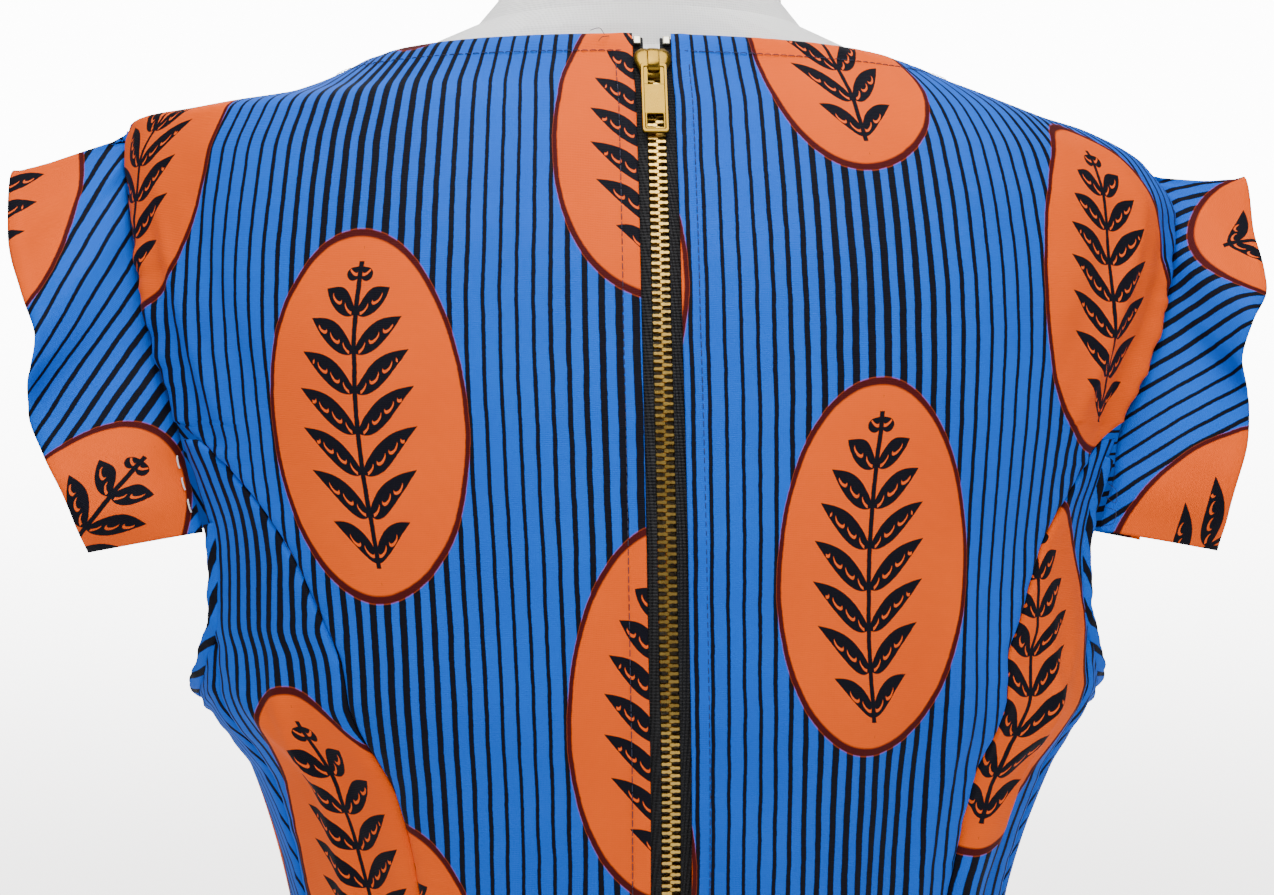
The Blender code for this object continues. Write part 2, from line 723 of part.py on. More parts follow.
def binding(side, look, group):
    """A narrow folded strip that lies on the outside of the armhole's edge."""
    path = lower_armhole(side)
    lift = BINDING_GAP + BINDING_THICK
    rows = []
    for i, (angle, z) in enumerate(path):
        before = plain_point(side, *path[max(i - 1, 0)])
        after = plain_point(side, *path[min(i + 1, len(path) - 1)])
        normal = surface_normal(side, angle, z)
        inward = normal.cross(after - before).normalized() * side
        offsets = (BINDING_EDGE, 0.5 * (BINDING_EDGE + BINDING_WIDTH), BINDING_WIDTH)
        rows.append([dress_point(side, *walked(side, angle, z, inward * offset), lift) for offset in offsets])
    return sheet("armhole_binding_" + side_name(side), rows, look, group, wall=BINDING_THICK)


def centre_frame(z):
    """At the centre back: a point of the surface, the way up along it and the way out of it."""
    point = plain_point(1, 0.0, z)
    low = plain_point(1, 0.0, z - 0.004)
    high = plain_point(1, 0.0, min(z + 0.004, NECK_Z))
    up = (high - low).normalized()
    out = Vector((1.0, 0.0, 0.0)).cross(up).normalized() * -1.0
    if out.y < 0:
        out = -out
    return point, up, out


def zip_heights(side, top):
    return [z for z in back_rows(side) if ZIP_END_Z <= z < top - 0.002] + [top]


def zip_strip(name, left_x, right_x, outer, thickness, top, look, group):
    """A strip along the centre back, with its outer face sunk below the cloth's surface by outer."""
    rows = []
    for z in zip_heights(-1, top):
        point, _, out = centre_frame(z)
        at = point - out * outer
        rows.append([at + Vector((left_x, 0.0, 0.0)), at + Vector((right_x, 0.0, 0.0))])
    return sheet(name, rows, look, group, wall=thickness, outward=Vector((0.0, 1.0, 0.0)))


def tape(side, look, group):
    """A woven tape that lies behind the back panel and follows its curve."""
    rows = []
    for z in zip_heights(side, NECK_Z - 0.0006):
        row = []
        for offset in (CHAIN_WIDTH / 2 + SEAM_GAP, OPENING_HALF, 0.5 * (OPENING_HALF + TAPE_WIDTH), TAPE_WIDTH):
            angle = angle_for_offset(side, z, offset)
            row.append(dress_point(side, angle, z, -(WALL + LAY_GAP)))
        rows.append(row)
    name = "zip_tape_" + side_name(side)
    return sheet(name, rows, look, group, wall=TAPE_THICK, outward=Vector((0.0, 1.0, 0.0)))


def box_solid(name, low, high, group, bevel=0.0):
    work = bmesh.new()
    bmesh.ops.create_cube(work, size=1.0)
    size = Vector(high) - Vector(low)
    bmesh.ops.scale(work, vec=size, verts=work.verts)
    bmesh.ops.translate(work, vec=(Vector(high) + Vector(low)) / 2, verts=work.verts)
    mesh = bpy.data.meshes.new(name)
    work.to_mesh(mesh)
    work.free()
    made = bpy.data.objects.new(name, mesh)
    group.objects.link(made)
    if bevel:
        edge = made.modifiers.new("edge", "BEVEL")
        edge.width = bevel
        edge.segments = 2
    return made


def slider_plate(name, low, high, group):
    """A plate with the slider's outline between two heights: round shoulders that taper towards the pull."""
    right = [(c.across * SLIDER_WIDTH / 2, c.along * SLIDER_LENGTH / 2) for c in PLATE_OUTLINE]
    outline = right + [(-x, y) for x, y in reversed(right)]
    work = bmesh.new()
    bottom = [work.verts.new((x, y, low)) for x, y in outline]
    top = [work.verts.new((x, y, high)) for x, y in outline]
    work.faces.new(bottom)
    work.faces.new(list(reversed(top)))
    for i in range(len(outline)):
        after = (i + 1) % len(outline)
        work.faces.new((bottom[after], bottom[i], top[i], top[after]))
    mesh = bpy.data.meshes.new(name)
    work.to_mesh(mesh)
    work.free()
    made = bpy.data.objects.new(name, mesh)
    group.objects.link(made)
    edge = made.modifiers.new("edge", "BEVEL")
    edge.width = PLATE_EDGE
    edge.segments = 2
    edge.angle_limit = math.radians(60)
    return made


def helper(made):
    made.hide_render = True
    made.display_type = "WIRE"
    return made


def combine(target, other, operation):
    step = target.modifiers.new(other.name, "BOOLEAN")
    step.operation = operation
    step.object = helper(other)
    step.solver = "EXACT"


def zip_matrix(z):
    """Axes of a place on the zip: x to the wearer's right, y up along the zip, z out of the cloth."""
    point, up, out = centre_frame(z)
    frame = Matrix((up.cross(out), up, out)).transposed().to_4x4()
    frame.translation = point
    return frame


def hinge_point():
    return zip_matrix(SLIDER_Z) @ Vector((0.0, -HINGE_DROP, HINGE_RISE))


def slider(look, group, cutters):
    """Two plates round the chain, joined by a post at the top, with a bridge on the outer plate."""
    half_y = SLIDER_LENGTH / 2
    outer_low = PLATE_CLEARANCE - CHAIN_SINK
    outer_high = outer_low + PLATE_THICK
    inner_high = -(CHAIN_SINK + CHAIN_THICK + LAY_GAP)
    inner_low = inner_high - PLATE_THICK
    made = slider_plate("zip_slider", outer_low, outer_high, group)
    made.data.materials.append(look)
    inner = slider_plate("slider_inner", inner_low, inner_high, cutters)
    post = box_solid(
        "slider_post",
        (-POST_WIDTH / 2, half_y - POST_LOW, inner_high - BITE),
        (POST_WIDTH / 2, half_y - POST_HIGH, outer_low + BITE),
        cutters,
    )
    half_bridge = BRIDGE_WIDTH / 2
    half_length = BRIDGE_LENGTH / 2
    bridge_top = outer_high + BRIDGE_RISE + BRIDGE_THICK
    arch = box_solid(
        "slider_bridge",
        (-half_bridge, -half_length, outer_high - BITE),
        (half_bridge, half_length, bridge_top),
        cutters,
        BRIDGE_ROUND,
    )
    hollow = box_solid(
        "bridge_hollow",
        (-BRIDGE_WIDTH, BRIDGE_THICK - half_length, outer_high),
        (BRIDGE_WIDTH, half_length - BRIDGE_THICK, bridge_top - BRIDGE_THICK),
        cutters,
    )
    combine(made, inner, "UNION")
    combine(made, post, "UNION")
    combine(made, arch, "UNION")
    combine(made, hollow, "DIFFERENCE")
    place = zip_matrix(SLIDER_Z)
    for solid in (made, inner, post, arch, hollow):
        solid.matrix_world = place
    return made


def pull(look, group, cutters):
    """The pull tab: a plate with an eye at the top, whose bar turns under the bridge, and a window below."""
    half = PULL_WIDTH / 2
    half_eye = BRIDGE_WIDTH / 2 + EYE_CLEARANCE
    half_window = PULL_WINDOW / 2
    low = -PULL_LENGTH
    made = box_solid("zip_pull", (-half, low, -PULL_THICK / 2), (half, PULL_BAR, PULL_THICK / 2), group)
    made.data.materials.append(look)
    eye = box_solid("pull_eye", (-half_eye, -EYE_LENGTH, -PULL_CUT), (half_eye, -PULL_BAR, PULL_CUT), cutters)
    window = box_solid(
        "pull_window",
        (-half_window, low + WINDOW_MARGIN, -PULL_CUT),
        (half_window, low + WINDOW_MARGIN + PULL_WINDOW, PULL_CUT),
        cutters,
    )
    combine(made, eye, "DIFFERENCE")
    combine(made, window, "DIFFERENCE")
    edge = made.modifiers.new("edge", "BEVEL")
    edge.width = PULL_EDGE
    edge.segments = 2
    edge.angle_limit = math.radians(40)
    place = zip_matrix(SLIDER_Z) @ Matrix.Rotation(math.radians(PULL_LEAN), 4, "X")
    place.translation = hinge_point()
    for solid in (made, eye, window):
        solid.matrix_world = place
    return made


def stops(look, group):
    """A top stop on each tape, above the slider."""
    place = zip_matrix(STOP_Z)
    for side, name in ((1, "zip_stop_left"), (-1, "zip_stop_right")):
        middle = -side * STOP_OFFSET
        low = (middle - STOP_WIDTH / 2, 0.0, -WALL)
        high = (middle + STOP_WIDTH / 2, STOP_LENGTH, STOP_THICK - WALL)
        made = box_solid(name, low, high, group, STOP_EDGE)
        made.data.materials.append(look)
        made.matrix_world = place


def form_ring(z, count):
    values = {name: float(column_value(SECTIONS, name, z)) for name in Section._fields[1:]}
    side_slack = float(column_value(SLACKS, "side", z))
    back_slack = float(column_value(SLACKS, "back", z))
    front_slack = float(column_value(SLACKS, "front", z))
    ring = []
    for i in range(count):
        ring.append(
            section_point(
                1,
                360.0 * i / count,
                z - FORM_DROP,
                values["left"] - side_slack,
                values["right"] - side_slack,
                values["back"] - back_slack,
                values["front"] - front_slack,
                values["sway"],
                values["squareness"],
            )
        )
    return ring


def form_torso(look, group):
    """The jersey-covered torso and neck: the dress's own sections drawn in by the slack, then the neck's."""
    count = 32
    heights = spread(FORM_BOTTOM_Z + FORM_ROUND, WAIST_Z, 5) + spread(WAIST_Z, 1.300, 8)[1:]
    heights += [1.325, 1.338, SHOULDER_RIGHT_Z, *sorted({*shoulder_rows(1), *shoulder_rows(-1)})]
    bottom = form_ring(FORM_BOTTOM_Z + FORM_ROUND, count)
    rounded = [Vector((p.x * FORM_ROUND_SCALE, p.y * FORM_ROUND_SCALE, FORM_BOTTOM_Z)) for p in bottom]
    rings = [rounded] + [form_ring(z, count) for z in heights]
    for row in NECK_SECTIONS:
        rings.append(
            [
                section_point(
                    1, 360.0 * i / count, row.z, row.half_width, row.half_width, row.back, row.front, -0.001, 2.0
                )
                for i in range(count)
            ]
        )
    return loft("form_torso", rings, look, group)


def stand(metal, wood, group):
    """The neck cap, the pole and the round base with its hub, all turned about the pole's axis."""
    cap_low = FORM_TOP_Z + SEAM_GAP
    cap_top = cap_low + CAP_THICK
    cap = [
        (0.0, cap_top),
        (CAP_RADIUS - CAP_BEVEL, cap_top),
        (CAP_RADIUS, cap_top - CAP_BEVEL),
        (CAP_RADIUS, cap_low),
        (0.0, cap_low),
    ]
    turned("form_cap", cap, wood, group)
    hub_top = BASE_CROWN + HUB_HEIGHT
    pole_top = FORM_BOTTOM_Z - SEAM_GAP
    pole_low = hub_top + SEAM_GAP
    pole = [(0.0, pole_top), (POLE_RADIUS, pole_top), (POLE_RADIUS, pole_low), (0.0, pole_low)]
    turned("form_pole", pole, metal, group, segments=24)
    base = [
        (0.0, hub_top),
        (HUB_RADIUS - HUB_TOP_INSET, hub_top),
        (HUB_RADIUS - HUB_ROUND, hub_top - HUB_ROUND),
        (HUB_RADIUS - HUB_TAPER, BASE_CROWN + HUB_FLARE_RISE),
        (HUB_RADIUS + HUB_FLARE, BASE_CROWN),
        (BASE_RADIUS - BASE_SHOULDER, BASE_EDGE + BASE_SHOULDER_RISE),
        (BASE_RADIUS - BASE_BEVEL, BASE_EDGE),
        (BASE_RADIUS, BASE_EDGE - BASE_BEVEL),
        (BASE_RADIUS, 0.0),
        (0.0, 0.0),
    ]
    turned("form_base", base, metal, group, segments=40)


def main():
    clear_scene()
    group = collection("wax_print_dress_on_form")
    cutters = collection("cutters")
    print_cloth = material("wax_print", (0.010, 0.190, 0.740), 0.75)
    lining_edge = material("binding_cloth", (0.008, 0.120, 0.520), 0.78)
    black_tape = material("zip_tape", (0.012, 0.011, 0.013), 0.85)
    gold = material("gold_metal", (0.800, 0.560, 0.200), 0.28, 1.0)
    jersey = material("white_jersey", (0.800, 0.790, 0.760), 0.85)
    white_metal = material("white_metal", (0.780, 0.780, 0.770), 0.35)
    pale_wood = material("pale_wood", (0.610, 0.430, 0.260), 0.55)

    for side in (1, -1):
        back_centre(side, print_cloth, group)
        back_side(side, print_cloth, group)
        sleeve(side, print_cloth, group)
        binding(side, lining_edge, group)
        tape(side, black_tape, group)
    front(print_cloth, group)

    chain_top = SLIDER_Z + CHAIN_REACH
    half_chain = CHAIN_WIDTH / 2
    zip_strip("zip_chain", -half_chain, half_chain, CHAIN_SINK, CHAIN_THICK, chain_top, gold, group)
    slider(gold, group, cutters)
    pull(gold, group, cutters)
    stops(gold, group)
    form_torso(jersey, group)
    stand(white_metal, pale_wood, group)


main()
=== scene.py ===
"""Looks of the wax print dress on its dress form: fine cloth, print, zip, stitching, light and camera."""

import json
import math
from collections import namedtuple

import bpy
import numpy as np
from mathutils import Matrix, Vector

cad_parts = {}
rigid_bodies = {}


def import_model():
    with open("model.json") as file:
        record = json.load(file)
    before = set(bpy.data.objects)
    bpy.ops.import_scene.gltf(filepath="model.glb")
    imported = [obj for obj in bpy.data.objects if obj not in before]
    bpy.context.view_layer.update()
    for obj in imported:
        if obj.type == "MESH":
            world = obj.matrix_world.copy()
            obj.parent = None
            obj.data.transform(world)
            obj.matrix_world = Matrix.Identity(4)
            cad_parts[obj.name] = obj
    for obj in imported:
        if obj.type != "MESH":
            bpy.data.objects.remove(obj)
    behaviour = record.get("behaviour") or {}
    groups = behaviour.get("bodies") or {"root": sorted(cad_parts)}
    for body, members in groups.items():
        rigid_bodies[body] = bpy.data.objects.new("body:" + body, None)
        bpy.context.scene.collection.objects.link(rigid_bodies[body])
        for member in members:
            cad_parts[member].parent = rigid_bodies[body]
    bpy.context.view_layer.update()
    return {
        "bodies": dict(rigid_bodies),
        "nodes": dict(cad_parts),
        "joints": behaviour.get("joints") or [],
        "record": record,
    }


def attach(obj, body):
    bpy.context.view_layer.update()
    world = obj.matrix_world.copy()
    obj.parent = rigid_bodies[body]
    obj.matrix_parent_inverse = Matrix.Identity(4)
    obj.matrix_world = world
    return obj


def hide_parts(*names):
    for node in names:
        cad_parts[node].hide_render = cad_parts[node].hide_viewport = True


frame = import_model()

nodes = frame["nodes"]

# Heights on the dress
HEM_Z = 0.400
SHOULDER_LEFT_Z = 1.354
SHOULDER_RIGHT_Z = 1.343
EVEN_Z = 1.250
NECK_Z = 1.380
FRONT_NECK_Z = 1.300
SCOOP_POWER = 1.4
PRINCESS_TOP_Z = 1.2485
SIDE_TOP_Z = 1.180
SLEEVE_END_Z = 1.243
ZIP_END_Z = 0.825
CLOSED_Z = 0.813
SEAM_HALF = 0.00012
CLOTH_WALL = 0.0009
BINDING_WALL = 0.0006
TAPE_WALL = 0.0008
THREAD_RADIUS = 0.00012
STITCH_RADIUS = 0.00016
BASTING_RADIUS = 0.00028
OPENING_HALF = 0.0066

Section = namedtuple("Section", "z left right back front sway squareness")
SECTIONS = [Section(*row) for row in (
    (0.400, 0.1680, 0.1680, 0.0940, 0.1000, 0.0000, 2.10),
    (0.520, 0.1710, 0.1710, 0.0990, 0.1050, 0.0000, 2.12),
    (0.700, 0.1730, 0.1730, 0.1080, 0.1080, 0.0000, 2.15),
    (0.770, 0.1705, 0.1705, 0.1095, 0.1065, 0.0000, 2.15),
    (0.830, 0.1615, 0.1615, 0.1060, 0.1025, -0.0010, 2.15),
    (0.885, 0.1480, 0.1480, 0.0980, 0.0965, -0.0020, 2.15),
    (0.940, 0.1325, 0.1325, 0.0885, 0.0905, -0.0030, 2.18),
    (0.985, 0.1240, 0.1240, 0.0835, 0.0890, -0.0035, 2.20),
    (1.025, 0.1240, 0.1240, 0.0855, 0.0970, -0.0040, 2.18),
    (1.073, 0.1305, 0.1305, 0.0910, 0.1120, -0.0045, 2.15),
    (1.125, 0.1445, 0.1490, 0.0990, 0.1250, -0.0040, 2.10),
    (1.157, 0.1636, 0.1672, 0.1025, 0.1240, -0.0033, 2.10),
    (1.200, 0.1632, 0.1660, 0.1030, 0.1170, -0.0025, 2.10),
    (1.240, 0.1714, 0.1771, 0.0995, 0.1050, -0.0020, 2.06),
    (1.290, 0.1825, 0.1940, 0.0905, 0.0860, -0.0015, 2.04),
    (1.325, 0.1862, 0.1985, 0.0800, 0.0700, -0.0015, 2.02),
    (1.343, 0.1875, 0.1885, 0.0730, 0.0620, -0.0015, 2.00),
    (1.355, 0.1850, 0.1685, 0.0677, 0.0580, -0.0015, 2.00),
    (1.366, 0.1310, 0.1360, 0.0625, 0.0550, -0.0010, 2.00),
    (1.380, 0.0970, 0.0970, 0.0555, 0.0520, -0.0010, 2.00),
)]

Seam = namedtuple("Seam", "z princess_left princess_right side")
SEAMS = [Seam(*row) for row in (
    (0.400, 44.0, 44.0, 86.0),
    (0.785, 42.0, 43.0, 84.0),
    (0.985, 36.0, 42.0, 74.0),
    (1.0925, 36.0, 45.0, 66.0),
    (1.1355, 37.2, 43.0, 65.0),
    (1.1685, 38.8, 43.5, 66.0),
    (1.1800, 41.2, 46.0, 68.0),
    (1.210, 49.0, 52.5, 68.0),
    (1.233, 58.0, 60.0, 69.5),
    (1.2485, 67.5, 68.0, 70.5),
)]

BackArmhole = namedtuple("BackArmhole", "z angle")
BACK_ARMHOLE = [BackArmhole(*row) for row in (
    (1.1800, 68.0),
    (1.2100, 68.0),
    (1.2485, 70.5),
    (1.2700, 73.0),
    (1.3000, 77.0),
    (1.3250, 81.5),
    (1.3430, 90.0),
)]

FrontArmhole = namedtuple("FrontArmhole", "foot angle z")
FRONT_FOOT_Z = 1.125
FRONT_ARMHOLE = [FrontArmhole(*row) for row in (
    (65.5, 68.0, 1.1800),
    (77.0, 77.0, 1.1620),
    (89.0, 88.0, 1.1550),
    (104.0, 101.0, 1.1640),
    (118.0, 109.0, 1.1850),
    (129.0, 111.5, 1.2150),
    (137.0, 110.0, 1.2430),
    (143.0, 106.5, 1.2750),
    (147.0, 102.5, 1.3050),
    (150.0, 97.5, 1.3270),
    (152.5, 90.0, 1.3430),
)]
NECK_FOOT = 162.0
COLUMN_BEND = 1.6

Station = namedtuple("Station", "seam x y z")
SLEEVE_LEFT = [Station(*row) for row in (
    (-1.33, 0.1910, 0.040, 1.2029),
    (-1.17, 0.1947, 0.046, 1.2141),
    (-1.02, 0.1995, 0.047, 1.2260),
    (-0.88, 0.2062, 0.041, 1.2371),
    (-0.74, 0.2121, 0.036, 1.2512),
    (-0.58, 0.2103, 0.042, 1.2643),
    (-0.43, 0.2089, 0.041, 1.2763),
    (-0.28, 0.2161, 0.031, 1.2935),
    (-0.13, 0.2241, 0.017, 1.3151),
    (0.00, 0.2258, 0.002, 1.3398),
    (0.13, 0.2219, -0.019, 1.3151),
    (0.28, 0.2163, -0.029, 1.2935),
    (0.43, 0.2067, -0.043, 1.2763),
    (0.58, 0.2105, -0.041, 1.2643),
    (0.74, 0.2099, -0.037, 1.2512),
    (0.88, 0.2064, -0.040, 1.2371),
    (1.02, 0.1973, -0.049, 1.2260),
    (1.17, 0.1949, -0.044, 1.2141),
    (1.33, 0.1900, -0.040, 1.2029),
)]
SLEEVE_RIGHT = [Station(*row) for row in (
    (-1.33, -0.2049, 0.040, 1.2021),
    (-1.17, -0.2063, 0.046, 1.2151),
    (-1.01, -0.2095, 0.047, 1.2275),
    (-0.86, -0.2155, 0.041, 1.2410),
    (-0.72, -0.2183, 0.036, 1.2543),
    (-0.57, -0.2133, 0.041, 1.2695),
    (-0.42, -0.2169, 0.043, 1.2836),
    (-0.28, -0.2258, 0.033, 1.2981),
    (-0.13, -0.2274, 0.018, 1.3186),
    (0.00, -0.2293, 0.002, 1.3419),
    (0.13, -0.2252, -0.019, 1.3186),
    (0.28, -0.2260, -0.032, 1.2981),
    (0.42, -0.2147, -0.044, 1.2836),
    (0.57, -0.2135, -0.040, 1.2695),
    (0.72, -0.2161, -0.037, 1.2543),
    (0.86, -0.2157, -0.040, 1.2410),
    (1.01, -0.2073, -0.049, 1.2275),
    (1.17, -0.2065, -0.044, 1.2151),
    (1.33, -0.2039, -0.040, 1.2021),
)]
SLEEVE_BULGE = 0.0028
SLEEVE_GAP = 0.0015
FREE_EDGE_OUT_LEFT = 0.0015
FREE_EDGE_OUT_RIGHT = 0.0036
FREE_EDGE_DROP = 0.103

Fold = namedtuple("Fold", "side low_angle low_z high_angle high_z width height")
FOLDS = [Fold(*row) for row in (
    (-1, 50.0, 0.990, 51.0, 1.140, 5.0, 0.0045),
    (-1, 57.0, 0.990, 55.5, 1.120, 4.0, -0.0035),
    (-1, 33.0, 1.000, 30.0, 1.170, 6.0, -0.0022),
    (1, 47.0, 0.990, 46.0, 1.120, 5.0, -0.0030),
    (1, 27.0, 1.010, 30.0, 1.190, 7.0, 0.0020),
    (1, 62.0, 1.215, 74.0, 1.315, 4.0, 0.0030),
    (-1, 60.0, 1.225, 71.0, 1.300, 3.5, -0.0022),
    (-1, 66.0, 1.235, 78.0, 1.320, 3.5, 0.0030),
    (1, 120.0, 1.000, 116.0, 1.130, 6.0, 0.0035),
    (-1, 122.0, 1.010, 118.0, 1.120, 6.0, -0.0025),
    (-1, 104.0, 0.980, 100.0, 1.120, 6.0, 0.0030),
    (1, 62.0, 0.420, 66.0, 0.640, 10.0, 0.0050),
    (-1, 58.0, 0.420, 60.0, 0.660, 10.0, 0.0045),
    (1, 128.0, 0.420, 124.0, 0.650, 11.0, 0.0050),
    (-1, 134.0, 0.420, 130.0, 0.620, 11.0, 0.0050),
)]

# Fine creases of the cloth that the solids leave out
CREASES = [Fold(*row) for row in (
    (-1, 44.0, 1.020, 45.5, 1.160, 2.0, -0.0015),
    (-1, 54.0, 1.050, 53.0, 1.180, 1.8, 0.0020),
    (-1, 38.0, 1.060, 35.5, 1.190, 2.0, 0.0018),
    (-1, 22.0, 1.000, 25.0, 1.100, 2.4, 0.0016),
    (-1, 40.0, 1.110, 60.0, 1.170, 2.6, 0.0018),
    (-1, 52.0, 1.235, 63.0, 1.325, 2.2, 0.0022),
    (-1, 46.0, 1.250, 57.0, 1.330, 2.4, -0.0010),
    (-1, 14.0, 0.960, 10.0, 1.060, 2.2, 0.0014),
    (1, 38.5, 1.030, 36.0, 1.150, 2.0, -0.0013),
    (1, 52.0, 1.050, 50.0, 1.170, 2.0, 0.0022),
    (1, 20.0, 1.000, 23.0, 1.115, 2.4, 0.0016),
    (1, 42.0, 1.105, 61.0, 1.165, 2.6, 0.0020),
    (1, 55.0, 1.230, 66.0, 1.320, 2.2, 0.0018),
    (1, 48.0, 1.240, 58.0, 1.330, 2.6, -0.0009),
    (1, 12.0, 0.955, 15.0, 1.050, 2.2, 0.0014),
    (1, 104.0, 1.060, 92.0, 1.140, 2.6, 0.0023),
    (1, 112.0, 1.030, 100.0, 1.110, 2.6, -0.0011),
    (1, 150.0, 0.950, 146.0, 1.050, 3.0, 0.0018),
    (1, 100.0, 0.860, 108.0, 0.960, 3.2, 0.0022),
    (-1, 106.0, 1.050, 93.0, 1.140, 2.6, 0.0023),
    (-1, 114.0, 1.020, 103.0, 1.100, 2.6, -0.0011),
    (-1, 148.0, 0.955, 152.0, 1.045, 3.0, 0.0018),
    (-1, 98.0, 0.870, 105.0, 0.965, 3.2, 0.0022),
    (1, 40.0, 0.760, 48.0, 0.900, 3.0, 0.0018),
    (-1, 36.0, 0.770, 46.0, 0.905, 3.0, 0.0018),
)]

# Stripes per metre of cloth change a little with height, where shaping takes the cloth in.
Grain = namedtuple("Grain", "z scale spread")
GRAINS = [Grain(*row) for row in (
    (0.400, 1.00, 0.00),
    (0.985, 1.08, 0.00),
    (1.073, 1.11, 0.00),
    (1.160, 1.08, 0.00),
    (1.286, 1.00, 0.00),
    (1.339, 1.02, 0.02),
    (1.361, 1.03, 0.08),
    (1.380, 1.10, 0.10),
)]


def smooth_value(places, values, query):
    """A smooth curve through a table's points that never swings past them."""
    x = np.asarray(places, float)
    y = np.asarray(values, float)
    step = np.diff(x)
    slope = np.diff(y) / step
    tangent = np.zeros_like(y)
    tangent[0] = slope[0]
    tangent[-1] = slope[-1]
    for i in range(1, len(y) - 1):
        if slope[i - 1] * slope[i] > 0:
            before = 2 * step[i] + step[i - 1]
            after = step[i] + 2 * step[i - 1]
            tangent[i] = (before + after) / (before / slope[i - 1] + after / slope[i])
    query = np.clip(query, x[0], x[-1])
    i = np.clip(np.searchsorted(x, query, side="right") - 1, 0, len(x) - 2)
    s = (query - x[i]) / step[i]
    start = (1 + 2 * s) * (1 - s) ** 2 * y[i] + s * (1 - s) ** 2 * step[i] * tangent[i]
    end = s * s * (3 - 2 * s) * y[i + 1] - s * s * (1 - s) * step[i] * tangent[i + 1]
    return start + end


def column(table, name, place, key="z"):
    return smooth_value([getattr(r, key) for r in table], [getattr(r, name) for r in table], place)


def side_name(side):
    return "left" if side > 0 else "right"


def unit(v):
    return v / np.maximum(np.linalg.norm(v, axis=-1, keepdims=True), 1e-12)


def plain(side, angle, z):
    """The dress's outer surface without its folds, for arrays of angle and height."""
    angle, z = np.broadcast_arrays(np.asarray(angle, float), np.asarray(z, float))
    turn = np.radians(angle)
    power = 2.0 / column(SECTIONS, "squareness", z)
    across = side * np.abs(np.sin(turn)) ** power * np.sign(np.sin(turn))
    half = np.where(across >= 0, column(SECTIONS, "left", z), column(SECTIONS, "right", z))
    depth = np.where(np.cos(turn) >= 0, column(SECTIONS, "back", z), -column(SECTIONS, "front", z))
    x = column(SECTIONS, "sway", z) + half * across
    return np.stack([x, depth * np.abs(np.cos(turn)) ** power, z], -1)


def normal(side, angle, z):
    around = plain(side, angle + 0.5, z) - plain(side, angle - 0.5, z)
    low = np.maximum(z - 0.0015, HEM_Z)
    high = np.minimum(z + 0.0015, NECK_Z)
    along = plain(side, angle, high) - plain(side, angle, low)
    return unit(np.cross(along, around) * side)


def fold_height(side, angle, z):
    total = np.zeros(np.broadcast(angle, z).shape)
    for fold in FOLDS + CREASES:
        if fold.side != side:
            continue
        share = np.clip((z - fold.low_z) / (fold.high_z - fold.low_z), 0.0, 1.0)
        middle = fold.low_angle + share * (fold.high_angle - fold.low_angle)
        fade = np.clip((z - fold.low_z) / 0.03, 0, 1) * np.clip((fold.high_z + 0.03 - z) / 0.06, 0, 1)
        total = total + fold.height * fade * np.exp(-(((angle - middle) / fold.width) ** 2))
    return total


def angle_for_offset(side, z, offset):
    half = column(SECTIONS, side_name(side), z)
    return np.degrees(np.arcsin((offset / half) ** (column(SECTIONS, "squareness", z) / 2.0)))


def shoulder_z(side):
    return SHOULDER_LEFT_Z if side > 0 else SHOULDER_RIGHT_Z


def armhole_z(side, z):
    stretch = (shoulder_z(side) - EVEN_Z) / (BACK_ARMHOLE[-1].z - EVEN_Z)
    return np.where(z > EVEN_Z, EVEN_Z + (z - EVEN_Z) * stretch, z)


def back_edge_angle(side, z):
    heights = [float(armhole_z(side, row.z)) for row in BACK_ARMHOLE]
    upper = smooth_value(heights, [row.angle for row in BACK_ARMHOLE], z)
    return np.where(z < SIDE_TOP_Z, column(SEAMS, "side", z), upper)


def opening_offset(z):
    share = np.clip((z - CLOSED_Z) / (ZIP_END_Z - CLOSED_Z), 0.0, 1.0)
    return SEAM_HALF + (OPENING_HALF - SEAM_HALF) * share


def wave(place, seed, length):
    """A gentle irregular wave, about 1 high, of the given length."""
    rng = np.random.default_rng(seed)
    total = 0.0
    for k in range(4):
        stretch = 0.62 + 0.37 * k
        start = rng.uniform(0, 2 * math.pi)
        total = total + np.sin(2 * math.pi * place * stretch / length + start) / (1 + 0.5 * k)
    return total * 0.5


# Materials


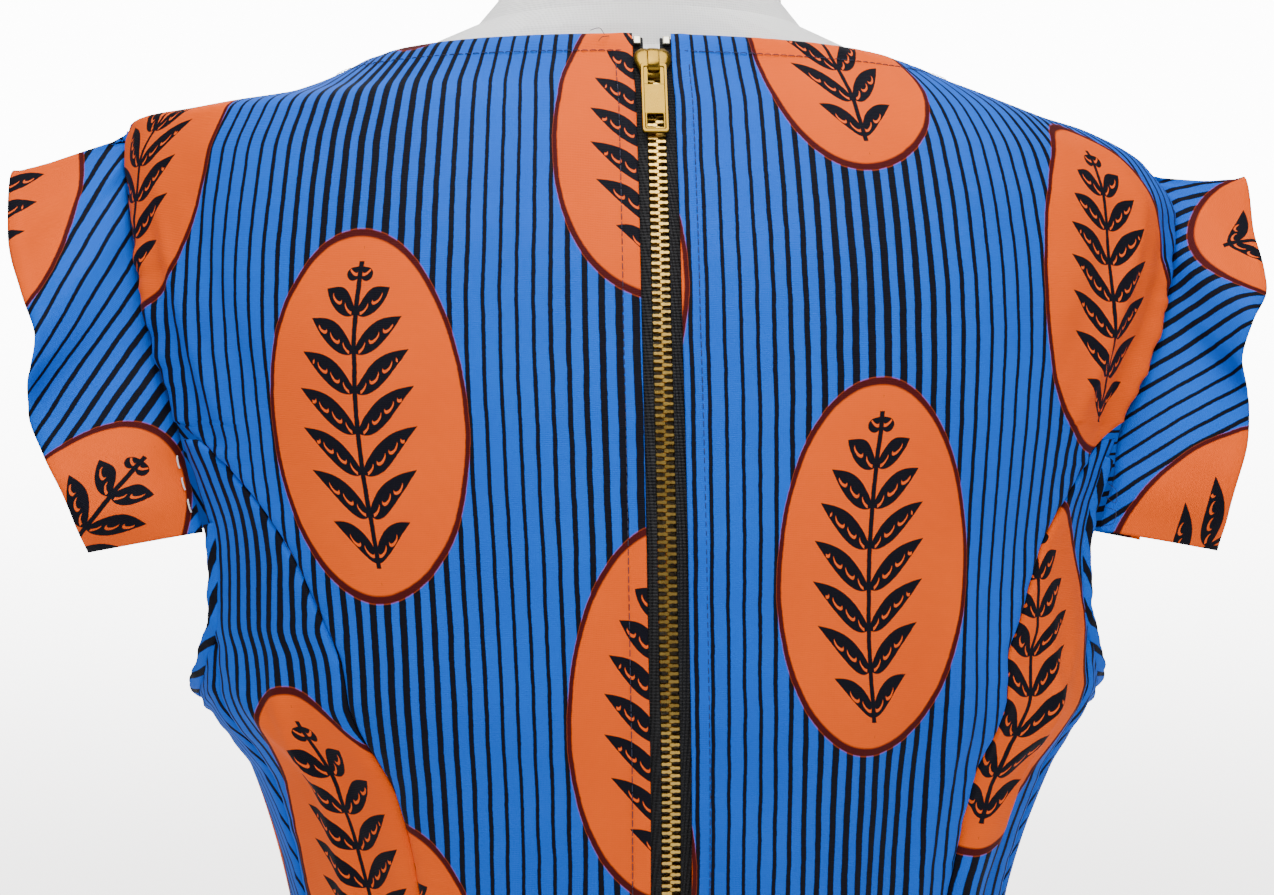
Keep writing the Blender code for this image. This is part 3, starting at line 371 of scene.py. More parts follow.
class Graph:
    """Short calls that add shader nodes and join them."""

    def __init__(self, name):
        self.material = bpy.data.materials.new(name)
        self.material.use_nodes = True
        self.tree = self.material.node_tree
        self.shader = self.tree.nodes["Principled BSDF"]

    def add(self, kind, **settings):
        made = self.tree.nodes.new(kind)
        for key, value in settings.items():
            setattr(made, key, value)
        return made

    def put(self, socket, value):
        if isinstance(value, bpy.types.NodeSocket):
            self.tree.links.new(value, socket)
        else:
            socket.default_value = value

    def math(self, operation, *values):
        made = self.add("ShaderNodeMath", operation=operation)
        for socket, value in zip(made.inputs, values):
            self.put(socket, value)
        return made.outputs[0]

    def times(self, first, second):
        return self.math("MULTIPLY", first, second)

    def plus(self, first, second):
        return self.math("ADD", first, second)

    def minus(self, first, second):
        return self.math("SUBTRACT", first, second)

    def over(self, first, second):
        return self.math("DIVIDE", first, second)

    def scaled(self, value, factor, start):
        return self.math("MULTIPLY_ADD", value, factor, start)

    def absolute(self, value):
        return self.math("ABSOLUTE", value)

    def root(self, value):
        return self.math("SQRT", value)

    def sine(self, value):
        return self.math("SINE", value)

    def from_cell(self, value):
        """How far a value is past the middle of the whole step it lies in."""
        return self.minus(self.math("FRACT", value), 0.5)

    def step(self, value, low, high, start=0.0, end=1.0):
        """A soft ramp from start to end as value goes from low to high."""
        made = self.add("ShaderNodeMapRange", interpolation_type="SMOOTHSTEP")
        for socket, number in zip(made.inputs, (value, low, high, start, end)):
            self.put(socket, number)
        return made.outputs[0]

    def mix(self, share, first, second):
        made = self.add("ShaderNodeMix", data_type="RGBA")
        self.put(made.inputs[0], share)
        self.put(made.inputs[6], (*first, 1.0) if isinstance(first, tuple) else first)
        self.put(made.inputs[7], (*second, 1.0) if isinstance(second, tuple) else second)
        return made.outputs[2]

    def noise(self, vector, scale, detail=2.0, roughness=0.5):
        made = self.add("ShaderNodeTexNoise")
        self.put(made.inputs["Vector"], vector)
        made.inputs["Scale"].default_value = scale
        made.inputs["Detail"].default_value = detail
        made.inputs["Roughness"].default_value = roughness
        return made.outputs[0]

    def place(self):
        return self.add("ShaderNodeTexCoord").outputs["Object"]

    def print_place(self):
        made = self.add("ShaderNodeUVMap", uv_map="print")
        split = self.add("ShaderNodeSeparateXYZ")
        self.put(split.inputs[0], made.outputs[0])
        return made.outputs[0], split.outputs[0], split.outputs[1]

    def bump(self, height, distance, strength=1.0, below=None):
        made = self.add("ShaderNodeBump")
        made.inputs["Strength"].default_value = strength
        made.inputs["Distance"].default_value = distance
        self.put(made.inputs["Height"], height)
        if below is not None:
            self.put(made.inputs["Normal"], below)
        return made.outputs[0]

    def finish(self, colour, roughness, surface=None, **constants):
        self.put(self.shader.inputs["Base Color"], (*colour, 1.0) if isinstance(colour, tuple) else colour)
        self.put(self.shader.inputs["Roughness"], roughness)
        if surface is not None:
            self.put(self.shader.inputs["Normal"], surface)
        for key, value in constants.items():
            self.shader.inputs[key.replace("_", " ")].default_value = value
        return self.material


STRIPE_PITCH = 0.0055
STRIPE_PERIOD = 0.099
OVAL_RISE = 0.196
OVAL_HALF_WIDTH = 0.0355
OVAL_HALF_HEIGHT = 0.0620
FRONT_PRINT_RISE = 0.049


def weave_height(g, vector, p, q):
    """Height of a plain weave: fine crosswise threads that show more than the lengthwise ones."""
    slow = g.noise(vector, 420.0, 2.0)
    cross = g.sine(g.plus(g.times(q, 2 * math.pi / 0.00062), g.times(slow, 5.0)))
    along = g.sine(g.plus(g.times(p, 2 * math.pi / 0.00055), g.times(slow, 4.0)))
    return g.plus(g.times(cross, 0.5), g.times(along, 0.25))


def wax_print(name, ovals=True):
    """Blue cotton with black stripes of slowly changing width, and orange ovals that hold a leafy sprig."""
    g = Graph(name)
    vector, p0, q0 = g.print_place()
    wobble = g.minus(g.noise(vector, 60.0, 3.0), 0.5)
    fine = g.minus(g.noise(vector, 700.0, 2.0), 0.5)
    shift = g.plus(g.times(wobble, 0.0011), g.times(fine, 0.0003))
    p = g.plus(p0, shift)
    q = g.plus(q0, g.times(wobble, 0.0009))

    cell = g.from_cell(g.over(p, STRIPE_PITCH))
    middle = g.minus(g.over(p, STRIPE_PITCH), cell)
    swing = g.math("COSINE", g.times(middle, 2 * math.pi * STRIPE_PITCH / STRIPE_PERIOD))
    half = g.scaled(swing, 0.00036, 0.00100)
    away = g.minus(g.times(g.absolute(cell), STRIPE_PITCH), half)
    stripe = g.step(away, -0.00014, 0.00014, 1.0, 0.0)

    column_place = g.over(p, STRIPE_PERIOD)
    column_number = g.math("ROUND", column_place)
    beside = g.times(g.minus(column_place, column_number), STRIPE_PERIOD)
    drop = g.times(g.math("PINGPONG", column_number, 1.0), 0.5)
    row_place = g.plus(g.over(q, OVAL_RISE), drop)
    above = g.times(g.minus(row_place, g.math("ROUND", row_place)), OVAL_RISE)
    taper = g.scaled(above, 1.1, 1.0)
    ex = g.over(g.times(beside, taper), OVAL_HALF_WIDTH)
    ey = g.over(above, OVAL_HALF_HEIGHT)
    radius = g.root(g.plus(g.times(ex, ex), g.times(ey, ey)))
    oval = g.step(radius, 0.992, 1.004, 1.0, 0.0)
    rim = g.times(g.step(radius, 0.945, 0.962), oval)

    # The sprig: a bowed stem, slanting leaves in pairs, and small crescents left open on them.
    bow = g.times(g.math("COSINE", g.times(above, 26.0)), 0.0045)
    out = g.absolute(g.minus(g.plus(beside, 0.002), bow))
    reach = g.times(above, above)
    envelope = g.times(g.root(g.math("MAXIMUM", g.scaled(reach, -420.0, 1.0), 0.0)), 0.0205)
    stem_top = g.math("LESS_THAN", g.absolute(above), 0.0505)
    stem = g.times(g.step(out, 0.0007, 0.0010, 1.0, 0.0), stem_top)
    leaf_period = 0.0132
    raised = g.minus(above, g.times(out, 0.75))
    turn = g.from_cell(g.over(raised, leaf_period))
    off_leaf = g.times(turn, leaf_period)
    along_leaf = g.math("MINIMUM", g.over(out, g.math("MAXIMUM", envelope, 0.0001)), 1.0)
    belly = g.times(g.sine(g.times(g.math("POWER", along_leaf, 0.75), math.pi)), 0.0047)
    leaf = g.step(g.minus(g.absolute(off_leaf), belly), -0.00015, 0.00015, 1.0, 0.0)
    leaf = g.times(leaf, g.math("LESS_THAN", along_leaf, 0.995))
    notch = g.times(g.from_cell(g.over(out, 0.0046)), 0.0046)
    lower = g.plus(off_leaf, 0.0004)
    ring = g.root(g.plus(g.times(notch, notch), g.times(lower, lower)))
    upper = g.plus(off_leaf, -0.0005)
    ring_in = g.root(g.plus(g.times(notch, notch), g.times(upper, upper)))
    crescent = g.times(g.step(ring, 0.0016, 0.0018, 1.0, 0.0), g.step(ring_in, 0.0015, 0.0017))
    crescent = g.times(crescent, g.math("GREATER_THAN", belly, 0.0024))
    sprig = g.math("MAXIMUM", stem, g.times(leaf, g.minus(1.0, crescent)))
    sprig = g.times(sprig, g.math("LESS_THAN", radius, 0.90))

    tone = g.noise(vector, 24.0, 4.0)
    blue = g.mix(tone, (0.0, 0.080, 0.520), (0.0, 0.112, 0.660))
    orange = g.mix(tone, (0.760, 0.082, 0.0), (0.880, 0.112, 0.0))
    black = (0.0015, 0.0015, 0.0060)
    ground = g.mix(stripe, blue, black)
    inside = g.mix(sprig, orange, black)
    inside = g.mix(rim, inside, (0.060, 0.002, 0.002))
    colour = g.mix(oval, ground, inside) if ovals else ground
    thread = weave_height(g, vector, p0, q0)
    # Painted shade and light of the weave: the colour is darker where the threads lie low and lighter where they
    # rise.
    weave_shade = g.scaled(thread, 0.045, 1.0)
    shaded = g.add("ShaderNodeVectorMath", operation="SCALE")
    g.put(shaded.inputs[0], colour)
    g.put(shaded.inputs["Scale"], weave_shade)
    crumple = g.bump(g.noise(vector, 55.0, 3.0), 0.0010, 0.35)
    surface = g.bump(thread, 0.00010, 0.55, crumple)
    rough = g.scaled(g.noise(vector, 90.0), 0.10, 0.66)
    gloss = {"Sheen_Weight": 0.02, "Sheen_Roughness": 0.5, "Specular_IOR_Level": 0.12}
    return g.finish(shaded.outputs[0], rough, surface, **gloss)


def plain_cloth(name, low, high, pitch, depth, roughness, sheen=0.1):
    """A one-colour cloth whose threads run both ways at the given pitch."""
    g = Graph(name)
    vector = g.place()
    split = g.add("ShaderNodeSeparateXYZ")
    g.put(split.inputs[0], vector)
    x, y, z = split.outputs[0], split.outputs[1], split.outputs[2]
    rib = g.sine(g.times(g.plus(x, g.times(y, 0.6)), 2 * math.pi / pitch))
    row = g.sine(g.times(z, 2 * math.pi / (pitch * 0.8)))
    height = g.times(g.plus(rib, row), 0.5)
    tone = g.noise(vector, 30.0, 3.0)
    surface = g.bump(height, depth, 0.6, g.bump(g.noise(vector, 60.0), depth * 4, 0.3))
    return g.finish(g.mix(tone, low, high), roughness, surface, Sheen_Weight=sheen, Specular_IOR_Level=0.3)


def metal(name, low, high, rough_low, rough_high, grain=220.0, bump=0.00006):
    g = Graph(name)
    vector = g.place()
    tone = g.noise(vector, grain, 3.0)
    g.shader.inputs["Metallic"].default_value = 1.0
    rough = g.scaled(tone, rough_high - rough_low, rough_low)
    return g.finish(g.mix(tone, low, high), rough, g.bump(g.noise(vector, 900.0), bump, 0.4))


def painted(name, low, high):
    g = Graph(name)
    vector = g.place()
    peel = g.bump(g.noise(vector, 260.0, 2.0), 0.00008, 0.3)
    rough = g.scaled(g.noise(vector, 14.0), 0.14, 0.26)
    return g.finish(g.mix(g.noise(vector, 9.0, 3.0), low, high), rough, peel, Coat_Weight=0.2)


def wood(name, low, high):
    g = Graph(name)
    vector = g.place()
    stretch = g.add("ShaderNodeMapping")
    stretch.inputs["Scale"].default_value = (14.0, 90.0, 90.0)
    g.put(stretch.inputs["Vector"], vector)
    grain = g.noise(stretch.outputs[0], 3.0, 5.0, 0.65)
    colour = g.mix(grain, low, high)
    return g.finish(colour, g.step(grain, 0.3, 0.7, 0.38, 0.55), g.bump(grain, 0.0002, 0.4))


cloth_look = wax_print("wax_print_cloth")
binding_look = wax_print("wax_print_binding", ovals=False)
tape_black = (0.0015, 0.0015, 0.0020)
tape_grey = (0.0070, 0.0068, 0.0085)
tape_look = plain_cloth("woven_tape", tape_black, tape_grey, 0.0013, 0.0005, 0.7, 0.0)
jersey_look = plain_cloth("knit_jersey", (0.90, 0.89, 0.87), (0.95, 0.94, 0.92), 0.0011, 0.0001, 0.85, 0.3)
thread_look = plain_cloth("dark_thread", (0.008, 0.010, 0.030), (0.020, 0.024, 0.060), 0.0004, 0.00005, 0.6)
white_thread = plain_cloth("white_thread", (0.72, 0.72, 0.70), (0.86, 0.86, 0.84), 0.0004, 0.00005, 0.6)
gold_look = metal("gold_plate", (0.18, 0.102, 0.011), (0.27, 0.158, 0.020), 0.20, 0.34)
tooth_look = metal("gold_teeth", (0.46, 0.285, 0.055), (0.66, 0.430, 0.110), 0.20, 0.36)
bright_look = metal("bright_stop", (0.44, 0.41, 0.32), (0.58, 0.55, 0.45), 0.16, 0.30)
stand_look = painted("white_paint", (0.70, 0.70, 0.69), (0.78, 0.78, 0.77))
wood_look = wood("pale_beech", (0.42, 0.27, 0.14), (0.66, 0.48, 0.29))


# Cloth


def grid_object(name, points, look, uv=None, outward=None):
    """A grid of points as a mesh whose faces look outward, with the place on the print as its UV map."""
    rows, columns = points.shape[:2]
    index = np.arange(rows * columns).reshape(rows, columns)
    faces = np.stack([index[:-1, :-1], index[:-1, 1:], index[1:, 1:], index[1:, :-1]], -1).reshape(-1, 4)
    across = points[:, 1:] - points[:, :-1]
    up = points[1:] - points[:-1]
    facing = np.cross(across[:-1], up[:, :-1]).reshape(-1, 3)
    away = outward if outward is not None else points[:-1, :-1].reshape(-1, 3) * (1, 1, 0)
    if (facing * away).sum() < 0:
        faces = faces[:, ::-1]
    mesh = bpy.data.meshes.new(name)
    mesh.from_pydata(points.reshape(-1, 3).tolist(), [], faces.tolist())
    if uv is not None:
        layer = mesh.uv_layers.new(name="print")
        flat = uv.reshape(-1, 2)[faces.reshape(-1)]
        layer.data.foreach_set("uv", flat.astype(np.float32).ravel())
    mesh.shade_smooth()
    made = bpy.data.objects.new(name, mesh)
    made.data.materials.append(look)
    bpy.context.scene.collection.objects.link(made)
    return made


def give_wall(made, wall):
    thick = made.modifiers.new("wall", "SOLIDIFY")
    thick.thickness = wall
    thick.offset = -1.0


def cloth(name, points, uv, outward=None):
    made = grid_object(name + "_cloth", points, cloth_look, uv, outward)
    give_wall(made, CLOTH_WALL)
    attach(made, "dress_on_form")
    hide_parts(name)


def measured(points):
    """Arc length along each row of points."""
    steps = np.linalg.norm(np.diff(points, axis=1), axis=-1)
    return np.concatenate([np.zeros((len(points), 1)), np.cumsum(steps, axis=1)], axis=1)


def row_length(side, low, high, z):
    samples = low[:, None] + (high - low)[:, None] * np.linspace(0, 1, 25)[None]
    return measured(plain(side, samples, z[:, None]))[:, -1]


def shares(width, count):
    """Column places from 0 to 1 in each row, close together near both edges."""
    edge = np.array([0.0, 0.0004, 0.0010, 0.0018, 0.0030, 0.0045, 0.0062, 0.0080])
    near = edge[None] * np.minimum(1.0, width / 0.030)[:, None] / width[:, None]
    inner = np.linspace(0, 1, count - 2 * len(edge) + 2)[1:-1]
    middle = near[:, -1:] + (1 - 2 * near[:, -1:]) * inner[None]
    return np.concatenate([near, middle, 1 - near[:, ::-1]], axis=1)


def soft(distance, reach):
    return np.exp(-((distance / reach) ** 2))


def lengthwise(z):
    """Length up the centre back's curve to a height, used as the print's lengthwise place."""
    return np.interp(z, profile_z, profile_length)


profile_z = np.linspace(HEM_Z, NECK_Z, 400)
profile = plain(1, np.zeros(400), profile_z)
profile_length = np.concatenate([[0], np.cumsum(np.linalg.norm(np.diff(profile, axis=0), axis=1))])

LOW = np.arange(HEM_Z, 1.000, 0.0060)


def upper_rows(side, step=0.0009):
    start = shoulder_z(side)
    return np.append(np.arange(start, NECK_Z - step * 0.6, step), NECK_Z)


def back_rows(side):
    middle = np.arange(1.000, shoulder_z(side) - 0.001, 0.0022)
    return np.concatenate([LOW, middle, upper_rows(side)])


def stripe_place(s, z):
    scale = column(GRAINS, "scale", z)
    return s * scale * (1.0 + column(GRAINS, "spread", z) * (s / 0.14) ** 2)


def seam_valley(distance):
    """A sewn edge: it turns inwards, and the cloth beside it stands a little proud over its allowance."""
    return -0.0011 * soft(distance, 0.0009) + 0.0005 * soft(distance - 0.0045, 0.0040)


def pucker(distance, along, seed, size, reach=0.0075):
    near_edge = np.exp(-distance / reach) * np.clip(distance / 0.0012, 0.15, 1)
    return size * wave(along, seed, 0.0115) * near_edge


def back_centre(side):
    z = back_rows(side)
    inner = angle_for_offset(side, z, opening_offset(z))
    princess = column(SEAMS, "princess_" + side_name(side), z)
    outer = np.where(z < PRINCESS_TOP_Z, princess, back_edge_angle(side, z))
    width = row_length(side, inner, outer, z)
    t = shares(width, 78)
    angle = inner[:, None] + (outer - inner)[:, None] * t
    zz = np.broadcast_to(z[:, None], angle.shape)
    base = plain(side, angle, zz)
    s = measured(base) + opening_offset(z)[:, None]
    from_inner = s - s[:, :1]
    from_outer = s[:, -1:] - s
    along = lengthwise(zz)
    lift = fold_height(side, angle, zz)
    lift = lift + seam_valley(from_outer) + pucker(from_outer, along, 11 + side, 0.00045)
    lift = lift + pucker(from_inner, along, 21 + side, 0.00028, 0.006)
    lift = lift + 0.0005 * soft(from_inner - 0.003, 0.0035)
    by_sleeve = np.clip((zz - 1.222) / 0.012, 0, 1) * np.clip((1.335 - zz) / 0.03, 0, 1)
    lift = lift + by_sleeve * pucker(from_outer, along, 131 + side, 0.0011, 0.011)
    from_neck = profile_length[-1] - along
    lift = lift + pucker(from_neck, s, 31 + side, 0.00030, 0.006) + 0.0005 * soft(from_neck - 0.003, 0.0035)
    drape = 0.0007 * wave(s + 0.2 * along, 41 + side, 0.070)
    for distance in (from_outer, from_inner, from_neck):
        drape = drape * np.clip(distance / 0.02, 0, 1)
    lift = lift + drape
    points = base + normal(side, angle, zz) * lift[..., None]
    p = stripe_place(s, zz) if side > 0 else 0.0725 - stripe_place(s, zz)
    q = along + 0.0006 * wave(s, 51 + side, 0.05)
    uv = np.stack([p, q + (0.028 if side > 0 else -0.020)], -1)
    cloth("back_centre_" + side_name(side), points, uv)


def back_side(side):
    z = back_rows(side)
    z = z[z <= SLEEVE_END_Z]
    inner = column(SEAMS, "princess_" + side_name(side), z)
    outer = back_edge_angle(side, z)
    width = row_length(side, inner, outer, z)
    t = shares(width, 38)
    angle = inner[:, None] + (outer - inner)[:, None] * t
    zz = np.broadcast_to(z[:, None], angle.shape)
    base = plain(side, angle, zz)
    s = measured(base)
    from_outer = s[:, -1:] - s
    along = lengthwise(zz)
    small = np.minimum(1.0, width / 0.03)[:, None]
    lift = fold_height(side, angle, zz) + (seam_valley(s) + seam_valley(from_outer)) * small
    gathered = pucker(s, along, 61 + side, 0.00045) + pucker(from_outer, along, 71 + side, 0.0004)
    lift = lift + gathered * small
    points = base + normal(side, angle, zz) * lift[..., None]
    from_edge = from_outer - 0.5 * np.interp(z, [HEM_Z, 0.80, 1.02], [0.080, 0.072, 0.060])[:, None]
    p = -side * from_edge * column(GRAINS, "scale", zz) + 0.007 * side
    uv = np.stack([p, along + (0.082 if side > 0 else 0.018)], -1)
    cloth("back_side_" + side_name(side), points, uv)


def front_armhole(side, row):
    rows = list(range(len(FRONT_ARMHOLE)))
    foot, angle, z = (
        smooth_value(rows, [getattr(entry, name) for entry in FRONT_ARMHOLE], row)
        for name in FrontArmhole._fields
    )
    return foot, angle, armhole_z(side, z)


def neckline_point(side, share):
    turn = np.radians(90.0 * share)
    z = NECK_Z - (NECK_Z - FRONT_NECK_Z) * np.sin(turn) ** SCOOP_POWER
    beside = getattr(SECTIONS[-1], side_name(side)) * np.cos(turn)
    return 180.0 - angle_for_offset(side, z, beside), z


def front_columns(side):
    foot, angle, z = front_armhole(side, np.linspace(0, len(FRONT_ARMHOLE) - 1, 56))
    top = np.linspace(0, 1, 25)[1:]
    shoulder = shoulder_z(side) + (NECK_Z - shoulder_z(side)) * top
    foot = np.append(foot, FRONT_ARMHOLE[-1].foot + (NECK_FOOT - FRONT_ARMHOLE[-1].foot) * top)
    angle = np.append(angle, np.full(len(top), 90.0))
    z = np.append(z, shoulder)
    share = np.linspace(0, 1, 33)[1:]
    neck_angle, neck_z = neckline_point(side, share * share)
    foot = np.append(foot, NECK_FOOT + (180.0 - NECK_FOOT) * share)
    return foot, np.append(angle, neck_angle), np.append(z, neck_z)


def front_half(side):
    foot, angle, top = front_columns(side)
    low_z = np.append(LOW, np.arange(1.000, FRONT_FOOT_Z - 0.004, 0.005))
    edge = column(SEAMS, "side", low_z)[:, None]
    low_angle = edge + (180.0 - edge) * ((foot - foot[0]) / (180.0 - foot[0]))[None]
    share = 1.0 - (1.0 - np.linspace(0, 1, 61)) ** 1.52
    high_z = FRONT_FOOT_Z + (top - FRONT_FOOT_Z)[None] * share[:, None]
    high_angle = foot[None] + (angle - foot)[None] * share[:, None] ** COLUMN_BEND
    high_angle[:, 0] = column(SEAMS, "side", high_z[:, 0])
    angles = np.concatenate([low_angle, high_angle])
    z = np.concatenate([np.broadcast_to(low_z[:, None], low_angle.shape), high_z])
    return angles, z


def arc_from_front(side, angle, z):
    """Length round the body, at one height, from the centre front to an angle."""
    heights = np.linspace(HEM_Z, NECK_Z, 240)
    angles = np.linspace(0.0, 180.0, 241)
    lengths = measured(plain(side, angles[None], heights[:, None]))
    lengths = lengths[:, -1:] - lengths
    row = np.clip((z - HEM_Z) / (NECK_Z - HEM_Z) * 239, 0, 238.999)
    col = np.clip(angle / 180.0 * 240, 0, 239.999)
    r, c = row.astype(int), col.astype(int)
    fr, fc = row - r, col - c
    low = lengths[r, c] * (1 - fc) + lengths[r, c + 1] * fc
    high = lengths[r + 1, c] * (1 - fc) + lengths[r + 1, c + 1] * fc
    return low * (1 - fr) + high * fr


def front():
    halves = []
    for side in (1, -1):
        angle, z = front_half(side)
        base = plain(side, angle, z)
        from_side = measured(base)
        along = lengthwise(z)
        lift = fold_height(side, angle, z) + seam_valley(from_side)
        lift = lift + pucker(from_side, along, 81 + side, 0.0004)
        centre = from_side[:, -1:] - from_side
        lift = lift + 0.0006 * wave(centre + 0.15 * along, 91, 0.08) * np.clip(from_side / 0.02, 0, 1)
        points = base + normal(side, angle, z) * lift[..., None]
        place = side * arc_from_front(side, angle, z)
        halves.append((points, np.stack([place, along + FRONT_PRINT_RISE], -1)))
    points = np.concatenate([halves[0][0], halves[1][0][:, -2::-1]], axis=1)
    uv = np.concatenate([halves[0][1], halves[1][1][:, -2::-1]], axis=1)
    cloth("front", points, uv)


def seam_place(side, place):
    """Angle and height on the armhole's edge: -1 and 1 are the sleeve seam's ends, 0 is the shoulder."""
    on_seam = np.minimum(np.abs(place), 1.0)
    z = shoulder_z(side) + (SLEEVE_END_Z - shoulder_z(side)) * on_seam ** 1.5
    z = z - FREE_EDGE_DROP * (np.abs(place) - on_seam)
    _, angles, heights = front_armhole(side, np.linspace(4, len(FRONT_ARMHOLE) - 1, 90))
    ahead = np.interp(z, heights, angles)
    return np.where(place <= 0, back_edge_angle(side, z), ahead), z


def sleeve_edge(side, place):
    angle, z = seam_place(side, place)
    before = plain(side, *seam_place(side, place - 0.03))
    after = plain(side, *seam_place(side, place + 0.03))
    out = normal(side, angle, z)
    off = unit(np.cross(out, after - before)) * side
    fall = np.maximum(np.abs(place) - 1.0, 0.0)
    free_out = FREE_EDGE_OUT_LEFT if side > 0 else FREE_EDGE_OUT_RIGHT
    swing = free_out * np.minimum(fall / 0.14, 1.0)
    return plain(side, angle, z) + off * SLEEVE_GAP + out * swing[:, None]


def eased(values, reach):
    """Values along a strip, averaged with their neighbours."""
    weights = np.hanning(2 * reach + 3)[1:-1]
    weights = weights / weights.sum()
    before = np.repeat(values[:1], reach, axis=0)
    after = np.repeat(values[-1:], reach, axis=0)
    padded = np.concatenate([before, values, after])
    columns = range(values.shape[1])
    return np.stack([np.convolve(padded[:, k], weights, mode="valid") for k in columns], axis=1)


def unrolled(inner, outer):
    """A strip laid flat: its two edges as points in the plane, triangle by triangle."""

    def third(a, b, to_a, to_b):
        line = b - a
        length = np.linalg.norm(line)
        along = (to_a ** 2 - to_b ** 2 + length ** 2) / (2 * length)
        off = math.sqrt(max(to_a ** 2 - along ** 2, 0.0))
        return a + line / length * along + np.array([-line[1], line[0]]) / length * off

    low = [np.zeros(2)]
    high = [np.array([np.linalg.norm(outer[0] - inner[0]), 0.0])]
    for i in range(len(inner) - 1):
        to_inner = np.linalg.norm(inner[i + 1] - inner[i])
        low.append(third(low[-1], high[-1], to_inner, np.linalg.norm(inner[i + 1] - outer[i])))
        across = np.linalg.norm(outer[i + 1] - inner[i + 1])
        high.append(third(low[-1], high[-1], across, np.linalg.norm(outer[i + 1] - outer[i])))
    return np.array(low), np.array(high)


def sleeve(side):
    """A strip sewn to the upper armhole, its hem waving, its corners hanging free."""
    stations = SLEEVE_LEFT if side > 0 else SLEEVE_RIGHT
    place = np.linspace(0, len(stations) - 1, 210)
    rows = list(range(len(stations)))
    seam, x, y, z = (smooth_value(rows, [getattr(r, n) for r in stations], place) for n in Station._fields)
    inner = eased(sleeve_edge(side, seam), 5)
    outer = np.stack([x, y, z], -1)
    across = outer - inner
    tangent = sleeve_edge(side, seam + 0.02) - sleeve_edge(side, seam - 0.02)
    bulge = unit(eased(np.cross(tangent, across), 9)) * side
    share = np.linspace(0, 1, 40)
    points = inner[:, None] + across[:, None] * share[None, :, None]
    arch = SLEEVE_BULGE * np.sin(math.pi * share)[None]
    length = np.concatenate([[0], np.cumsum(np.linalg.norm(np.diff(outer, axis=0), axis=1))])
    width = np.linalg.norm(across, axis=1)
    from_seam = width[:, None] * share[None]
    from_hem = width[:, None] - from_seam
    gather = 0.0012 * wave(length, 101 + side, 0.024)[:, None]
    gather = gather * np.exp(-from_seam / 0.016) * np.clip(from_seam / 0.003, 0, 1)
    ripple = 0.0011 * wave(length, 111 + side, 0.045)[:, None] * np.clip(from_seam / 0.03, 0, 1)
    hem = 0.0006 * soft(from_hem - 0.003, 0.003) - 0.0010 * soft(from_seam, 0.0012)
    points = points + bulge[:, None] * (arch + gather + ripple + hem)[..., None]
    tilt = math.radians(50.0 if side > 0 else 40.0)
    low, high = unrolled(inner, outer)
    flat = low[:, None] + (high - low)[:, None] * share[None, :, None]
    way = high[70] - high[35]
    turn = math.atan2(way[1], way[0])
    centre = flat[52, 20]
    u = (flat[..., 0] - centre[0]) * math.cos(turn) + (flat[..., 1] - centre[1]) * math.sin(turn)
    v = (flat[..., 0] - centre[0]) * math.sin(turn) - (flat[..., 1] - centre[1]) * math.cos(turn)
    p = u * math.cos(tilt) + side * v * math.sin(tilt)
    q = u * math.sin(tilt) - side * v * math.cos(tilt)
    uv = np.stack([p + (0.040 if side > 0 else -0.033), q + (0.075 if side > 0 else 0.120)], -1)
    outward = np.broadcast_to(np.array([side * 0.3, 0.0, 1.0]), points[:-1, :-1].shape).reshape(-1, 3)
    cloth("sleeve_" + side_name(side), points, uv, outward=outward)
    return points[(seam > -1.26) & (seam < -1.02), 2]


def binding(side):
    """The narrow strip that covers the lower armhole's edge, puckered by its stitching."""
    start, last_row = (1.2125, 4.6) if side > 0 else (1.234, 5.3)
    back_z = np.linspace(start, SIDE_TOP_Z, 60)[:-1]
    _, front_angle, front_z = front_armhole(side, np.linspace(0, last_row, 150))
    z = np.append(back_z, front_z)
    angle = np.append(back_edge_angle(side, back_z), front_angle)
    base = plain(side, angle, z)
    tangent = np.gradient(base, axis=0)
    out = normal(side, angle, z)
    inward = unit(np.cross(out, tangent)) * side
    length = np.concatenate([[0], np.cumsum(np.linalg.norm(np.diff(base, axis=0), axis=1))])
    offsets = np.array([-0.0002, 0.0002, 0.0012, 0.0024, 0.0036, 0.0046, 0.0054, 0.0064])
    rise = np.array([0.0006, 0.0013, 0.0021, 0.0023, 0.0020, 0.0013, 0.0006, -0.0007])
    crimp = 1.0 + 0.20 * wave(length, 121 + side, 0.0110)
    points = base[:, None] + inward[:, None] * offsets[None, :, None]
    points = points + out[:, None] * (rise[None] * crimp[:, None])[..., None]
    turn = math.radians(22.0)
    along = length[:, None]
    uv = np.stack([
        along * math.sin(turn) + offsets[None] * math.cos(turn),
        along * math.cos(turn) - offsets[None] * math.sin(turn),
    ], -1)
    away = np.broadcast_to(out[:-1, None], points[:-1, :-1].shape).reshape(-1, 3)
    name = "armhole_binding_" + side_name(side)
    made = grid_object(name + "_strip", points, binding_look, uv, outward=away)
    give_wall(made, BINDING_WALL)
    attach(made, "dress_on_form")
    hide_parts(name)


free_edge = {}
for side in (1, -1):
    back_centre(side)
    back_side(side)
    free_edge[side] = sleeve(side)
    binding(side)
front()


# Zip


def centre_frames(z):
    """Points on the centre back with the way up along them and the way out of them."""
    point = plain(1, np.zeros(len(z)), z)
    high = plain(1, np.zeros(len(z)), np.minimum(z + 0.004, NECK_Z))
    low = plain(1, np.zeros(len(z)), z - 0.004)
    up = unit(high - low)
    out = unit(np.stack([np.zeros(len(z)), up[:, 2], -up[:, 1]], -1))
    return point, up, out


